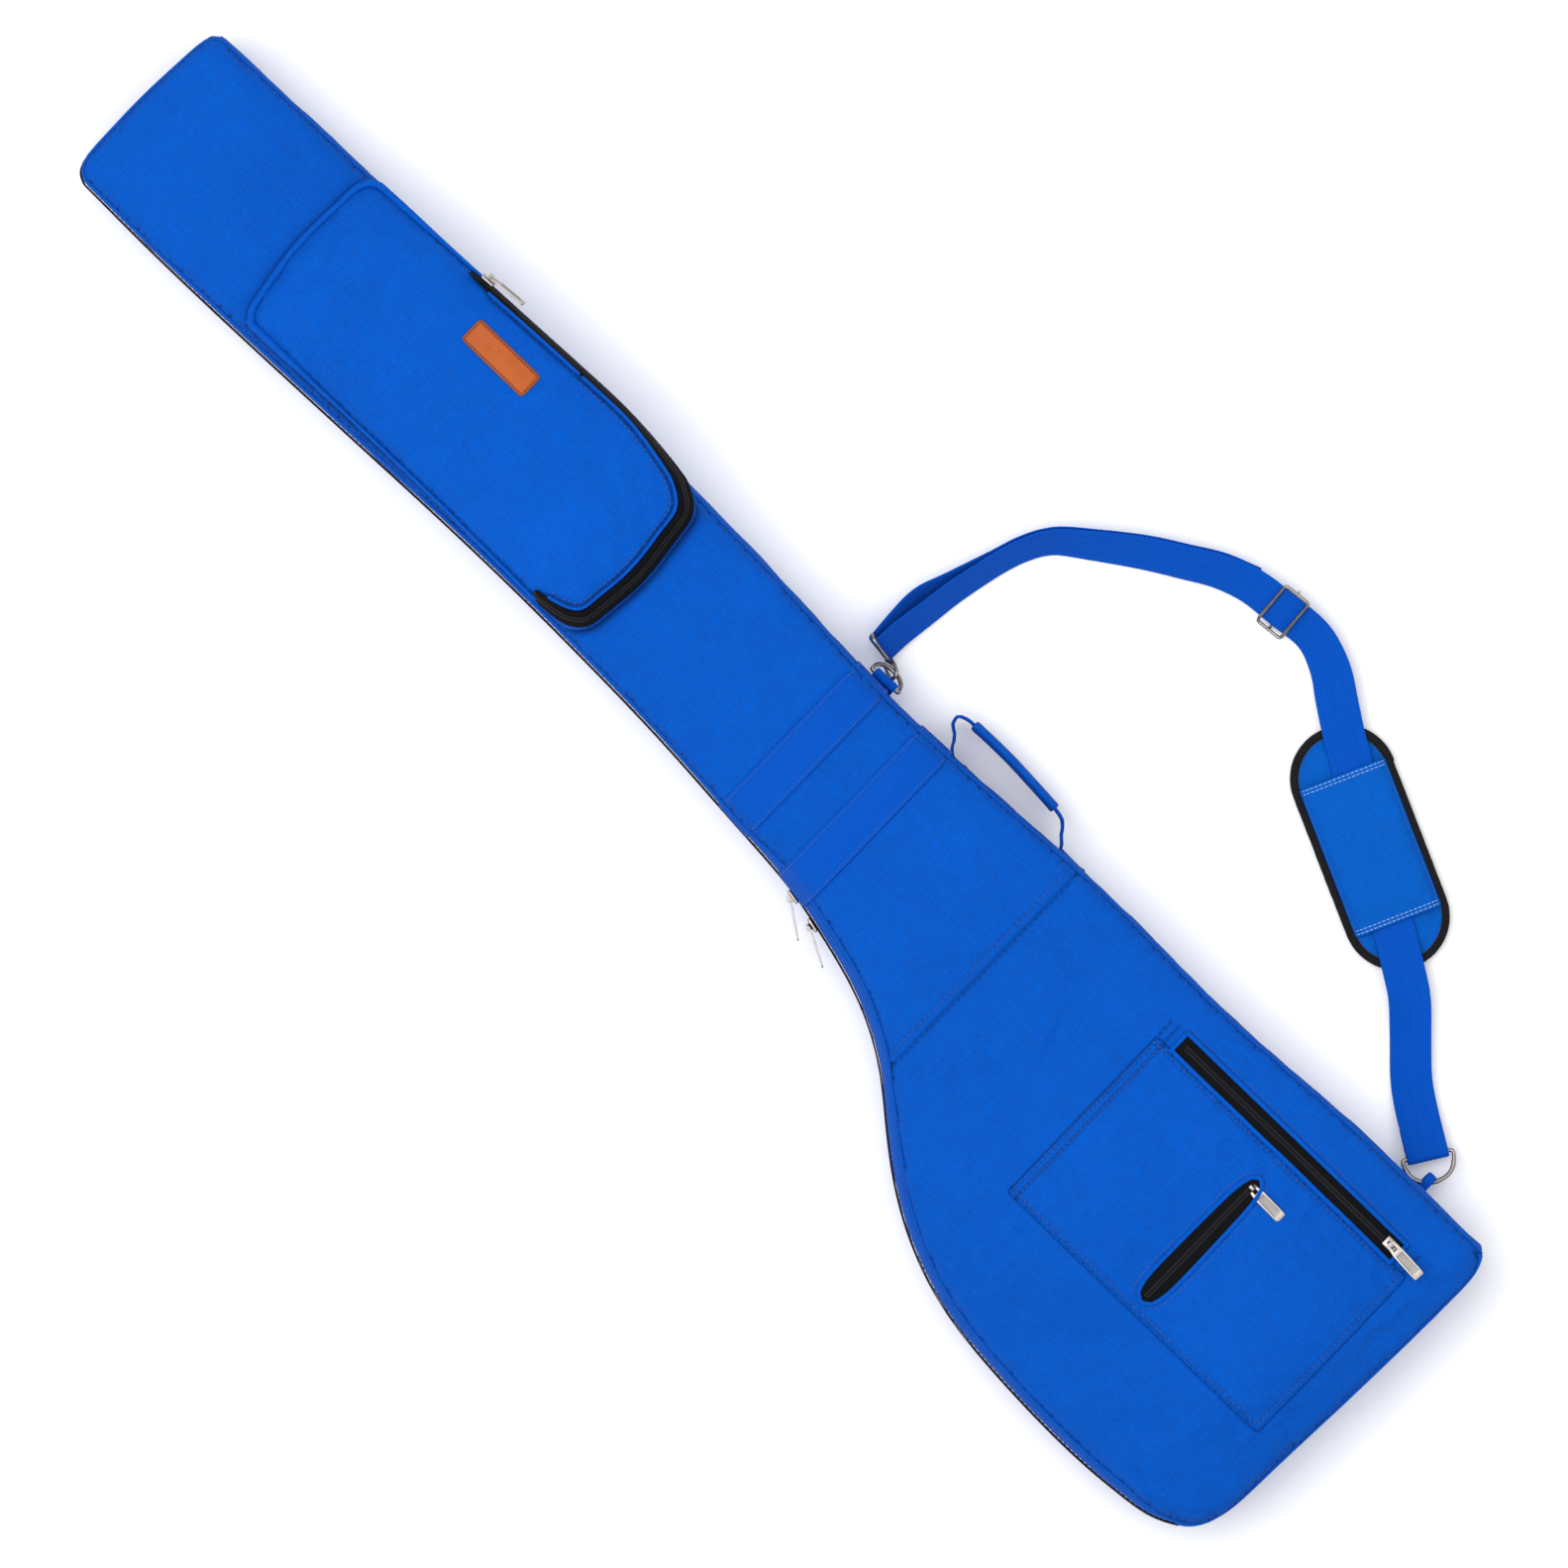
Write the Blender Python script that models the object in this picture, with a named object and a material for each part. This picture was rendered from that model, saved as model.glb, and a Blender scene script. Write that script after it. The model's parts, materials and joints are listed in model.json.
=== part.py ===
"""Padded carrying bag: a long neck that flares into a wide square end, lying flat on its back.

Metres, +Z up. The origin is on the back face, +Y runs to the narrow end, +X to the handle and strap.
The front shell opens about a line on the right-hand side, half way up the side wall.
"""
import bisect
import math

import bmesh
import bpy
from mathutils import Matrix, Vector

# ---- driving dimensions -------------------------------------------------------------------
TOP_Y = 0.6245            # narrow end
BOTTOM_Y = -0.6245        # wide end
OPENING_Z = 0.046         # where the two shells meet
SEAM_Z = 0.078            # seam between side wall and front panel
NECK_CROWN = 0.015        # how far the front bulges above its seam on the neck
BODY_CROWN = 0.020
GAP = 0.0004              # clearance between touching pieces
FABRIC = 0.0012
FOAM = 0.0060
LINING = 0.0008
WEBBING = 0.0016
WALL_FOAM = 0.0046
PANEL_INSET = 0.0066      # front panel's edge, in from the outline
PANEL_SLACK = 0.0006      # room between the front's fabric and its foam
BACK_INSET = 0.0066
NECK_SEAM_Y = -0.223
ZIP_HALF = 0.0058         # half the width of an opening zip's tape

# outline of the bag, (y, x) from the narrow end down; read with a smooth curve
RIGHT_EDGE = [(0.610, 0.0697), (0.520, 0.0714), (0.420, 0.0724), (0.300, 0.0724), (0.200, 0.0714),
              (0.100, 0.0692), (0.030, 0.0655), (-0.030, 0.0620), (-0.080, 0.0615), (-0.150, 0.0642),
              (-0.240, 0.0683), (-0.320, 0.0671), (-0.380, 0.0667), (-0.430, 0.0692),
              (-0.500, 0.0720), (-0.560, 0.0728), (-0.606, 0.0726)]
LEFT_EDGE = [(0.609, -0.0706), (0.520, -0.0714), (0.400, -0.0692), (0.280, -0.0660), (0.200, -0.0652),
             (0.100, -0.0672), (0.030, -0.0708), (-0.030, -0.0757), (-0.070, -0.0787), (-0.105, -0.0840),
             (-0.140, -0.0922), (-0.175, -0.1030), (-0.210, -0.1190), (-0.245, -0.1462),
             (-0.280, -0.1745), (-0.314, -0.1957), (-0.349, -0.2115), (-0.384, -0.2208),
             (-0.440, -0.2272), (-0.490, -0.2294), (-0.525, -0.2289), (-0.550, -0.2270)]
TOP_EDGE = [(-0.052, 0.6238), (0.0, 0.6245), (0.053, 0.6215)]           # (x, y)
BOTTOM_EDGE = [(0.056, -0.6240), (0.020, -0.6245), (-0.080, -0.6208), (-0.182, -0.6152)]
CORNERS = {"top_right": (0.0695, 0.6200), "bottom_right": (0.0726, -0.6235),
           "bottom_left": (-0.2235, -0.6120), "top_left": (-0.0704, 0.6230)}
BAND_1_Y = (-0.013, -0.043)
BAND_2_Y = (-0.0765, -0.105)
STATIONS = [0.585, 0.54, 0.48, 0.42, 0.35, 0.28, 0.21, 0.14, 0.08, 0.03, *BAND_1_Y, *BAND_2_Y, -0.145,
            -0.185, NECK_SEAM_Y, -0.255, -0.29, -0.33, -0.38, -0.44, -0.49, -0.525]
CORNER_ROWS = 4           # stations inside each rounded corner, before the first and after the last above
ACROSS = [0.0, 0.045, 0.13, 0.28, 0.50, 0.72, 0.87, 0.955, 1.0]


# ---- small tools --------------------------------------------------------------------------
def clear_scene():
    for item in list(bpy.data.objects):
        bpy.data.objects.remove(item, do_unlink=True)
    for mesh in list(bpy.data.meshes):
        bpy.data.meshes.remove(mesh)


MATERIALS = {}


def material(name, colour, roughness, metallic=0.0):
    made = bpy.data.materials.new(name)
    made.use_nodes = True
    shader = made.node_tree.nodes["Principled BSDF"]
    shader.inputs["Base Color"].default_value = (*colour, 1.0)
    shader.inputs["Roughness"].default_value = roughness
    shader.inputs["Metallic"].default_value = metallic
    MATERIALS[name] = made


def make_materials():
    material("blue_fabric", (0.003, 0.110, 0.580), 0.75)
    material("blue_webbing", (0.002, 0.095, 0.510), 0.70)
    material("foam", (0.70, 0.70, 0.68), 0.95)
    material("lining", (0.020, 0.020, 0.023), 0.80)
    material("black_zip", (0.010, 0.011, 0.014), 0.60)
    material("black_binding", (0.013, 0.013, 0.015), 0.80)
    material("nickel", (0.62, 0.61, 0.59), 0.28, 1.0)
    material("leather", (0.57, 0.13, 0.045), 0.55)


def smooth_value(knots, at):
    """Value at one place of a smooth curve through knots (place, value), places falling or rising."""
    if knots[0][0] > knots[-1][0]:
        knots = knots[::-1]
    places = [k[0] for k in knots]
    i = min(max(bisect.bisect_right(places, at) - 1, 0), len(knots) - 2)

    def slope(j):
        low = max(j - 1, 0)
        high = min(j + 1, len(knots) - 1)
        return (knots[high][1] - knots[low][1]) / (knots[high][0] - knots[low][0])

    width = places[i + 1] - places[i]
    t = (at - places[i]) / width
    t = min(max(t, 0.0), 1.0)
    a, b = knots[i][1], knots[i + 1][1]
    return ((2 * t ** 3 - 3 * t ** 2 + 1) * a + (t ** 3 - 2 * t ** 2 + t) * width * slope(i)
            + (-2 * t ** 3 + 3 * t ** 2) * b + (t ** 3 - t ** 2) * width * slope(i + 1))


def smoothstep(value, low, high):
    t = min(max((value - low) / (high - low), 0.0), 1.0)
    return t * t * (3 - 2 * t)


def rounded(start, control, end, steps):
    """Points of a corner from start to end that bends towards control, ends left out."""
    points = []
    for k in range(1, steps):
        t = k / steps
        points.append(start.lerp(control, t).lerp(control.lerp(end, t), t))
    return points


def smooth_path(points, step):
    """A smooth curve through points, one about every step metres; a point may carry more than x, y, z."""
    n = len(points)
    result = []
    for i in range(n - 1):
        a = points[i]
        b = points[i + 1]
        before = points[i - 1] if i else a + (a - b)
        after = points[i + 2] if i + 2 < n else b + (b - a)
        count = max(1, round((Vector(b[:3]) - Vector(a[:3])).length / step))
        for k in range(count):
            t = k / count
            result.append(0.5 * ((2 * a) + (b - before) * t
                                 + (2 * before - 5 * a + 4 * b - after) * t * t
                                 + (3 * a - before - 3 * b + after) * t ** 3))
    result.append(points[-1].copy())
    return result


def new_object(name, vertices, faces, slot, smooth=True):
    mesh = bpy.data.meshes.new(name)
    mesh.from_pydata([tuple(v) for v in vertices], [], faces)
    bm = bmesh.new()
    bm.from_mesh(mesh)
    bmesh.ops.recalc_face_normals(bm, faces=bm.faces[:])
    bm.to_mesh(mesh)
    bm.free()
    if smooth:
        mesh.shade_smooth()
        mesh.set_sharp_from_angle(angle=math.radians(40))
    mesh.materials.append(MATERIALS[slot])
    made = bpy.data.objects.new(name, mesh)
    bpy.context.scene.collection.objects.link(made)
    return made


def two_skins(name, outer, inner, slot, wrap=False):
    """A closed sheet between two grids of points of one size. wrap joins each row's end to its start.

    Both skins are cut into triangles the same way, so that sheets from one grid stay parallel.
    """
    rows, cols = len(outer), len(outer[0])
    vertices = [p for row in outer for p in row] + [p for row in inner for p in row]
    shift = rows * cols
    spans = cols if wrap else cols - 1
    faces = []
    for i in range(rows - 1):
        for j in range(spans):
            k = (j + 1) % cols
            a, b, c, d = i * cols + j, i * cols + k, (i + 1) * cols + k, (i + 1) * cols + j
            for face in ((a, b, c), (a, c, d)):
                faces.append(face)
                faces.append(tuple(shift + v for v in reversed(face)))
    for j in range(spans):
        k = (j + 1) % cols
        last = (rows - 1) * cols
        faces.append((k, j, shift + j, shift + k))
        faces.append((last + j, last + k, shift + last + k, shift + last + j))
    if not wrap:
        for i in range(rows - 1):
            a, b = i * cols, (i + 1) * cols
            faces.append((a, b, shift + b, shift + a))
            a += cols - 1
            b += cols - 1
            faces.append((b, a, shift + a, shift + b))
    return new_object(name, vertices, faces, slot)


def ring_plate(name, outer, inner, low, high, slot, place=None):
    """A flat plate with one hole: two loops of one length, (x, y), between two heights."""
    place = place or Matrix.Identity(4)
    n = len(outer)
    vertices = []
    for height in (low, high):
        for loop in (outer, inner):
            vertices += [place @ Vector((x, y, height)) for x, y in loop]
    faces = []
    for j in range(n):
        k = (j + 1) % n
        faces.append((j, k, n + k, n + j))
        faces.append((2 * n + k, 2 * n + j, 3 * n + j, 3 * n + k))
        faces.append((j, 2 * n + j, 2 * n + k, k))
        faces.append((n + k, 3 * n + k, 3 * n + j, n + j))
    return new_object(name, vertices, faces, slot)


def round_bar(name, path, radius, slot, sides=8, closed=False):
    """A round bar along a path; a closed path makes a ring."""
    n = len(path)
    reference = Vector((0.31, 0.17, 0.93)).normalized()
    across = None
    vertices = []
    for i, point in enumerate(path):
        before = path[i - 1] if (closed or i) else path[0]
        after = path[(i + 1) % n] if (closed or i < n - 1) else path[-1]
        tangent = (after - before).normalized()
        if across is None:
            across = tangent.cross(reference).normalized()
        across = (across - tangent * across.dot(tangent)).normalized()
        other = tangent.cross(across)
        for k in range(sides):
            turn = 2 * math.pi * k / sides
            vertices.append(point + radius * (across * math.cos(turn) + other * math.sin(turn)))
    faces = []
    for i in range(n if closed else n - 1):
        for k in range(sides):
            a, b = i * sides, ((i + 1) % n) * sides
            m = (k + 1) % sides
            faces.append((a + k, a + m, b + m, b + k))
    if not closed:
        faces.append(tuple(range(sides)))
        faces.append(tuple(reversed(range((n - 1) * sides, n * sides))))
    return new_object(name, vertices, faces, slot)


def strip(name, path, slot, thickness=WEBBING):
    """Flat webbing: path holds (centre, unit width direction, half width) at each place."""
    rows_up, rows_down = [], []
    for i, (centre, side, half) in enumerate(path):
        before = path[max(i - 1, 0)][0]
        after = path[min(i + 1, len(path) - 1)][0]
        tangent = (after - before).normalized()
        side = (side - tangent * side.dot(tangent)).normalized()
        normal = tangent.cross(side)
        rows_up.append([centre - side * half + normal * thickness / 2,
                        centre + side * half + normal * thickness / 2])
        rows_down.append([centre - side * half - normal * thickness / 2,
                          centre + side * half - normal * thickness / 2])
    return two_skins(name, rows_up, rows_down, slot)


def frame_at(origin, along, normal):
    """Matrix whose X runs along, Z is the normal, at origin."""
    z = normal.normalized()
    x = (along - z * along.dot(z)).normalized()
    y = z.cross(x)
    matrix = Matrix((x, y, z)).transposed().to_4x4()
    matrix.translation = origin
    return matrix


def rounded_box(name, size, place, slot, bevel):
    """A box with rounded edges, centred on place's origin, its shape final in the mesh."""
    bm = bmesh.new()
    bmesh.ops.create_cube(bm, size=1.0)
    bmesh.ops.scale(bm, vec=Vector(size), verts=bm.verts[:])
    bmesh.ops.bevel(bm, geom=bm.edges[:], offset=bevel, segments=1, affect="EDGES", profile=0.5)
    bmesh.ops.transform(bm, matrix=place, verts=bm.verts[:])
    mesh = bpy.data.meshes.new(name)
    bm.to_mesh(mesh)
    bm.free()
    mesh.materials.append(MATERIALS[slot])
    made = bpy.data.objects.new(name, mesh)
    bpy.context.scene.collection.objects.link(made)
    return made


def joined(target, *others):
    """Unite others with target by Boolean; the others stay as hidden operands."""
    for other in others:
        other.hide_render = True
        other.display_type = "WIRE"
        union = target.modifiers.new("unite_" + other.name, "BOOLEAN")
        union.operation = "UNION"
        union.object = other
    return target


def cut_away(made, point, normal):
    """Keep the side of a closed solid that its plane's normal points away from, and cap it."""
    bm = bmesh.new()
    bm.from_mesh(made.data)
    geometry = bm.verts[:] + bm.edges[:] + bm.faces[:]
    bmesh.ops.bisect_plane(bm, geom=geometry, plane_co=point, plane_no=normal, clear_outer=True,
                           dist=1e-7)
    rim = [edge for edge in bm.edges if edge.is_boundary]
    bmesh.ops.triangle_fill(bm, edges=rim, use_beauty=True)
    bmesh.ops.recalc_face_normals(bm, faces=bm.faces[:])
    bm.to_mesh(made.data)
    bm.free()
    return made


# ---- outline of the bag -------------------------------------------------------------------
def edge_x(y, side):
    return smooth_value(RIGHT_EDGE if side > 0 else LEFT_EDGE, y)


def corner(name, start, end):
    control = Vector(CORNERS[name])
    return [start] + rounded(start, control, end, 6) + [end]


def end_line(knots):
    steps = 12
    first, last = knots[0][0], knots[-1][0]
    places = [first + (last - first) * k / steps for k in range(steps + 1)]
    return [Vector((x, smooth_value(knots, x))) for x in places]


def outline_loop():
    """The outline as (right side, bottom, left side, top), clockwise, each section's ends shared."""
    top = end_line(TOP_EDGE)
    bottom = end_line(BOTTOM_EDGE)
    right_top = Vector((RIGHT_EDGE[0][1], RIGHT_EDGE[0][0]))
    right_low = Vector((RIGHT_EDGE[-1][1], RIGHT_EDGE[-1][0]))
    left_top = Vector((LEFT_EDGE[0][1], LEFT_EDGE[0][0]))
    left_low = Vector((LEFT_EDGE[-1][1], LEFT_EDGE[-1][0]))
    corners = [corner("top_right", top[-1], right_top), corner("bottom_right", right_low, bottom[0]),
               corner("bottom_left", bottom[-1], left_low), corner("top_left", left_top, top[0])]
    half = 3
    right = corners[0][half:] + [Vector((edge_x(y, 1), y)) for y in STATIONS] + corners[1][:half + 1]
    left = corners[3][half::-1] + [Vector((edge_x(y, -1), y)) for y in STATIONS] + corners[2][:half - 1:-1]
    bottom_row = corners[1][half:] + bottom[1:-1] + corners[2][:half + 1]
    top_row = corners[3][half:] + top[1:-1] + corners[0][:half + 1]
    columns = len(ACROSS)

    def resample(points, fractions):
        lengths = [0.0]
        for a, b in zip(points, points[1:]):
            lengths.append(lengths[-1] + (b - a).length)
        result = []
        for f in fractions:
            at = f * lengths[-1]
            i = min(max(bisect.bisect_right(lengths, at) - 1, 0), len(points) - 2)
            result.append(points[i].lerp(points[i + 1], (at - lengths[i]) / (lengths[i + 1] - lengths[i])))
        return result

    bottom_row = resample(bottom_row, ACROSS)      # right to left
    top_row = resample(top_row, ACROSS)            # left to right
    right[0] = top_row[-1]
    right[-1] = bottom_row[0]
    left[0] = top_row[0]
    left[-1] = bottom_row[-1]
    loop = right[:-1] + bottom_row[:-1] + left[::-1][:-1] + top_row[:-1]
    return loop, len(right) - 1, columns - 1


LOOP, SIDE_SPANS, END_SPANS = outline_loop()
COUNT = len(LOOP)


def inset_loop(inset, loop=None):
    """The loop moved inwards by inset; the loop runs clockwise."""
    loop = loop or LOOP
    n = len(loop)
    moved = []
    for i, point in enumerate(loop):
        a = (point - loop[i - 1]).normalized()
        b = (loop[(i + 1) % n] - point).normalized()
        inward = Vector((a.y + b.y, -a.x - b.x)).normalized()
        reach = inset / max(inward.dot(Vector((a.y, -a.x))), 0.6)
        moved.append(point + inward * reach)
    return moved


def side_inset(z):
    """How far the side wall leans in from the outline at a height."""
    low = max(0.0, 1 - z / 0.022)
    high = max(0.0, (z - 0.054) / (SEAM_Z - 0.054))
    return 0.0050 * low * low + 0.0066 * high * high


def edge_slope(y, side):
    return (edge_x(y + 0.004, side) - edge_x(y - 0.004, side)) / 0.008


def edge_distance(x, y):
    """A smooth distance in from the nearest edge of the bag."""
    held = min(max(y, -0.60), 0.605)
    right = (edge_x(held, 1) - x) / math.hypot(1, edge_slope(held, 1))
    left = (x - edge_x(held, -1)) / math.hypot(1, edge_slope(held, -1))
    reach = [right, left, TOP_Y - y, y - BOTTOM_Y]
    reach = [max(r, 0.0008) for r in reach]
    return sum(r ** -4 for r in reach) ** -0.25


def front_z(x, y):
    """Height of the front's outer face."""
    body = smoothstep(-y, 0.05, 0.42)
    crown = NECK_CROWN + (BODY_CROWN - NECK_CROWN) * body
    reach = 0.052 + 0.034 * body
    t = min(max(edge_distance(x, y) - PANEL_INSET, 0.0) / reach, 1.0)
    return SEAM_Z + crown * math.sqrt(1 - (1 - t) ** 2)


def plan_rows(inset, first=0, last=None, shift_first=0.0, shift_last=0.0):
    """Rows of plan points over the bag, narrow end to wide end, from the inset outline."""
    loop = inset_loop(inset)
    last = SIDE_SPANS if last is None else last
    rows = []
    for i in range(first, last + 1):
        right = loop[i]
        left = loop[(2 * SIDE_SPANS + END_SPANS - i) % COUNT]
        if i == 0:
            start = 2 * SIDE_SPANS + END_SPANS
            row = [loop[(start + k) % COUNT] for k in range(END_SPANS + 1)]
        elif i == SIDE_SPANS:
            row = [loop[SIDE_SPANS + k] for k in range(END_SPANS, -1, -1)]
        else:
            row = [left.lerp(right, f) for f in ACROSS]
        rows.append([p.copy() for p in row])
    for p in rows[0]:
        p.y += shift_first
    for p in rows[-1]:
        p.y += shift_last
    return rows


def front_grid(first=0, last=None, shift_first=0.0, shift_last=0.0):
    """Points of the front's outer face, row by row."""
    rows = plan_rows(PANEL_INSET, first, last, shift_first, shift_last)
    return [[Vector((p.x, p.y, front_z(p.x, p.y))) for p in row] for row in rows]


def trimmed(grid, ends, sides):
    """The grid without so many rows at each end, its side columns moved in by a part of one column."""
    kept = []
    for row in grid[ends:-ends]:
        kept.append([row[0].lerp(row[1], sides)] + row[1:-1] + [row[-1].lerp(row[-2], sides)])
    return kept


def domed_sheet(name, grid, depth, thickness, slot):
    """A sheet below the front's outer face, its top depth under that face."""
    outer = [[p - Vector((0, 0, depth)) for p in row] for row in grid]
    inner = [[p - Vector((0, 0, thickness)) for p in row] for row in outer]
    return two_skins(name, outer, inner, slot)


def flat_sheet(name, rows, low, high, slot):
    outer = [[Vector((p.x, p.y, high)) for p in row] for row in rows]
    inner = [[Vector((p.x, p.y, low)) for p in row] for row in rows]
    return two_skins(name, outer, inner, slot)


def side_band(name, levels, slot, first=0, spans=None):
    """A band round the side wall. levels hold (height, outer inset, inner inset). spans limits it."""
    outer, inner = [], []
    for height, outside, inside in levels:
        for rows, inset in ((outer, outside), (inner, inside)):
            loop = inset_loop(inset)
            if spans is not None:
                loop = [loop[(first + k) % COUNT].copy() for k in range(spans + 1)]
                loop[0] += (loop[1] - loop[0]).normalized() * GAP / 2
                loop[-1] += (loop[-2] - loop[-1]).normalized() * GAP / 2
            rows.append([Vector((p.x, p.y, height)) for p in loop])
    return two_skins(name, outer, inner, slot, wrap=spans is None)


def wall_levels(heights, depth, thickness):
    return [(z, side_inset(z) + depth, side_inset(z) + depth + thickness) for z in heights]


# ---- the two shells -----------------------------------------------------------------------
HINGE_SIDE = (0, SIDE_SPANS)
BASE_SIDE = (SIDE_SPANS, END_SPANS)
ZIP_SIDE = (SIDE_SPANS + END_SPANS, SIDE_SPANS + END_SPANS)


def make_back_shell():
    inside = FABRIC + GAP
    flat_sheet("back_panel", plan_rows(BACK_INSET), 0.0, FABRIC, "blue_fabric")
    flat_sheet("back_foam", plan_rows(BACK_INSET + GAP), inside, inside + FOAM, "foam")
    lining_low = inside + FOAM + GAP
    lining_depth = inside + WALL_FOAM + GAP
    flat_sheet("back_lining", plan_rows(side_inset(lining_low) + lining_depth + GAP / 2),
               lining_low, lining_low + LINING, "lining")
    side_band("lower_gusset_foam",
              wall_levels([lining_low, 0.016, OPENING_Z - ZIP_HALF - 0.001], inside, WALL_FOAM), "foam")
    side_band("lower_gusset_lining",
              wall_levels([lining_low + LINING + GAP, 0.018, OPENING_Z - 0.0010], lining_depth, LINING),
              "lining")
    bottom_levels = [0.0, 0.004, 0.010, 0.020]
    side_band("lower_gusset_hinge_side", wall_levels(bottom_levels + [OPENING_Z - GAP], 0, FABRIC),
              "blue_fabric", *HINGE_SIDE)
    side_band("lower_gusset_base", wall_levels(bottom_levels + [OPENING_Z - GAP], 0, FABRIC),
              "blue_fabric", *BASE_SIDE)
    side_band("lower_gusset_zip_side", wall_levels(bottom_levels + [OPENING_Z - ZIP_HALF - GAP], 0, FABRIC),
              "blue_fabric", *ZIP_SIDE)
    main_zip("main_zip_lower", -1)


def main_zip(name, side):
    """One half of the opening's zip: tape with the coil raised along its free edge."""
    coil = 0.0026
    levels = [(OPENING_Z + side * ZIP_HALF, 0.0003, 0.0013),
              (OPENING_Z + side * (coil + 0.0002), 0.0003, 0.0013),
              (OPENING_Z + side * coil, -0.0007, 0.0020),
              (OPENING_Z + side * GAP / 2, -0.0007, 0.0020)]
    side_band(name, levels, "black_zip", *ZIP_SIDE)


def make_front_shell():
    seam_row = STATIONS.index(NECK_SEAM_Y) + CORNER_ROWS
    domed_sheet("front_panel_neck", front_grid(0, seam_row, shift_last=GAP / 2), 0, FABRIC, "blue_fabric")
    domed_sheet("front_panel_body", front_grid(seam_row, shift_first=-GAP / 2), 0, FABRIC, "blue_fabric")
    inside = FABRIC + GAP
    domed_sheet("front_foam", trimmed(front_grid(), 1, 0.42), inside + PANEL_SLACK, FOAM, "foam")
    domed_sheet("front_lining", trimmed(front_grid(), 2, 0.95), inside + PANEL_SLACK + FOAM + GAP, LINING,
                "lining")
    wall_lining = inside + WALL_FOAM + GAP
    side_band("upper_gusset_foam",
              wall_levels([OPENING_Z + ZIP_HALF + 0.001, 0.062, SEAM_Z - 0.0086], inside, WALL_FOAM), "foam")
    side_band("upper_gusset_lining",
              wall_levels([OPENING_Z + 0.0010, 0.060, SEAM_Z - 0.0100], wall_lining, LINING), "lining")
    top_levels = [0.058, 0.066, 0.072, SEAM_Z - FABRIC - GAP]
    side_band("upper_gusset_hinge_side", wall_levels([OPENING_Z + GAP] + top_levels, 0, FABRIC),
              "blue_fabric", *HINGE_SIDE)
    side_band("upper_gusset_base", wall_levels([OPENING_Z + GAP] + top_levels, 0, FABRIC),
              "blue_fabric", *BASE_SIDE)
    side_band("upper_gusset_zip_side", wall_levels([OPENING_Z + ZIP_HALF + GAP] + top_levels, 0, FABRIC),
              "blue_fabric", *ZIP_SIDE)
    main_zip("main_zip_upper", 1)


def make_bands():
    """Two webbing bands across the neck, wrapped down over the upper side walls."""
    lift = 0.0008
    heights = [SEAM_Z - 0.003, 0.070, 0.062, OPENING_Z + ZIP_HALF + 0.0015]
    for name, (high, low) in (("band_1", BAND_1_Y), ("band_2", BAND_2_Y)):
        outer, inner = [], []
        for y in (high, low):
            i = STATIONS.index(y) + CORNER_ROWS
            row = [p + Vector((0, 0, lift)) for p in front_grid()[i]]
            right = [(inset_loop(side_inset(z) - lift)[i], z) for z in heights]
            left = [(inset_loop(side_inset(z) - lift)[2 * SIDE_SPANS + END_SPANS - i], z) for z in heights]
            row = [Vector((*p, z)) for p, z in left[::-1]] + row + [Vector((*p, z)) for p, z in right]
            outer.append(lifted(row, 0.0014))
            inner.append(row)
        two_skins(name, outer, inner, "blue_webbing")


def lifted(row, amount):
    """Points moved outwards from a row that bends in the XZ plane."""
    moved = []
    for i, point in enumerate(row):
        a = row[max(i - 1, 0)]
        b = row[min(i + 1, len(row) - 1)]
        along = (b - a).normalized()
        moved.append(point + Vector((-along.z, 0, along.x)) * amount)
    return moved


# ---- upper pocket -------------------------------------------------------------------------
POCKET_RIGHT = [(0.455, 0.0715), (0.400, 0.0735), (0.330, 0.0765), (0.260, 0.0790), (0.210, 0.0790),
                (0.170, 0.0745)]
POCKET_LEFT = [(0.452, -0.0610), (0.350, -0.0600), (0.250, -0.0600), (0.172, -0.0620)]
POCKET_TOP = [(-0.046, 0.4640), (0.0, 0.4705), (0.056, 0.4690)]
POCKET_BOTTOM = [(0.052, 0.1385), (0.0, 0.1330), (-0.044, 0.1375)]
POCKET_CORNERS = [(0.0720, 0.4670), (0.0700, 0.1430), (-0.0620, 0.1420), (-0.0612, 0.4610)]
POCKET_WALL_Z = 0.1040    # top of the fixed wall
POCKET_ZIP_RISE = 0.0110
POCKET_CROWN = 0.0100
POCKET_FOAM = 0.0040
FOLD_LEFT = Vector((-0.0640, 0.1860, 0))
FOLD_RIGHT = Vector((0.0800, 0.2700, 0))
POCKET_SLIDER_Y = 0.3630


def pocket_loop():
    """Widest outline of the pocket, clockwise from its top right corner."""
    tr, br, bl, tl = [Vector(p) for p in POCKET_CORNERS]
    top_line, bottom_line = end_line(POCKET_TOP), end_line(POCKET_BOTTOM)
    right_ys = [0.455, 0.42, POCKET_SLIDER_Y, 0.31, 0.26, 0.215, 0.170]
    left_ys = [0.172, 0.182, 0.25, 0.32, 0.39, 0.452]
    right = [Vector((smooth_value(POCKET_RIGHT, y), y)) for y in right_ys]
    left = [Vector((smooth_value(POCKET_LEFT, y), y)) for y in left_ys]
    bottom = bottom_line[::2]
    top = top_line[::2]
    loop = right + rounded(right[-1], br, bottom[0], 4)
    zip_start = right_ys.index(POCKET_SLIDER_Y)
    loop += bottom + rounded(bottom[-1], bl, left[0], 4)
    zip_end = len(loop) + 1
    loop += left + rounded(left[-1], tl, top[0], 4) + top + rounded(top[-1], tr, right[0], 4)
    return loop, zip_start, zip_end


def pocket_lid_loop(loop, inset):
    """The lid's edge: set in further at the wide end, where the zip shows from above."""
    moved = []
    for point, inner in zip(loop, inset_loop(1.0, loop)):
        low = 1 - smoothstep(point.y, 0.135, 0.20)
        amount = inset * (0.45 + 0.55 * low)
        moved.append(point + (inner - point).normalized() * amount)
    return moved


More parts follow.
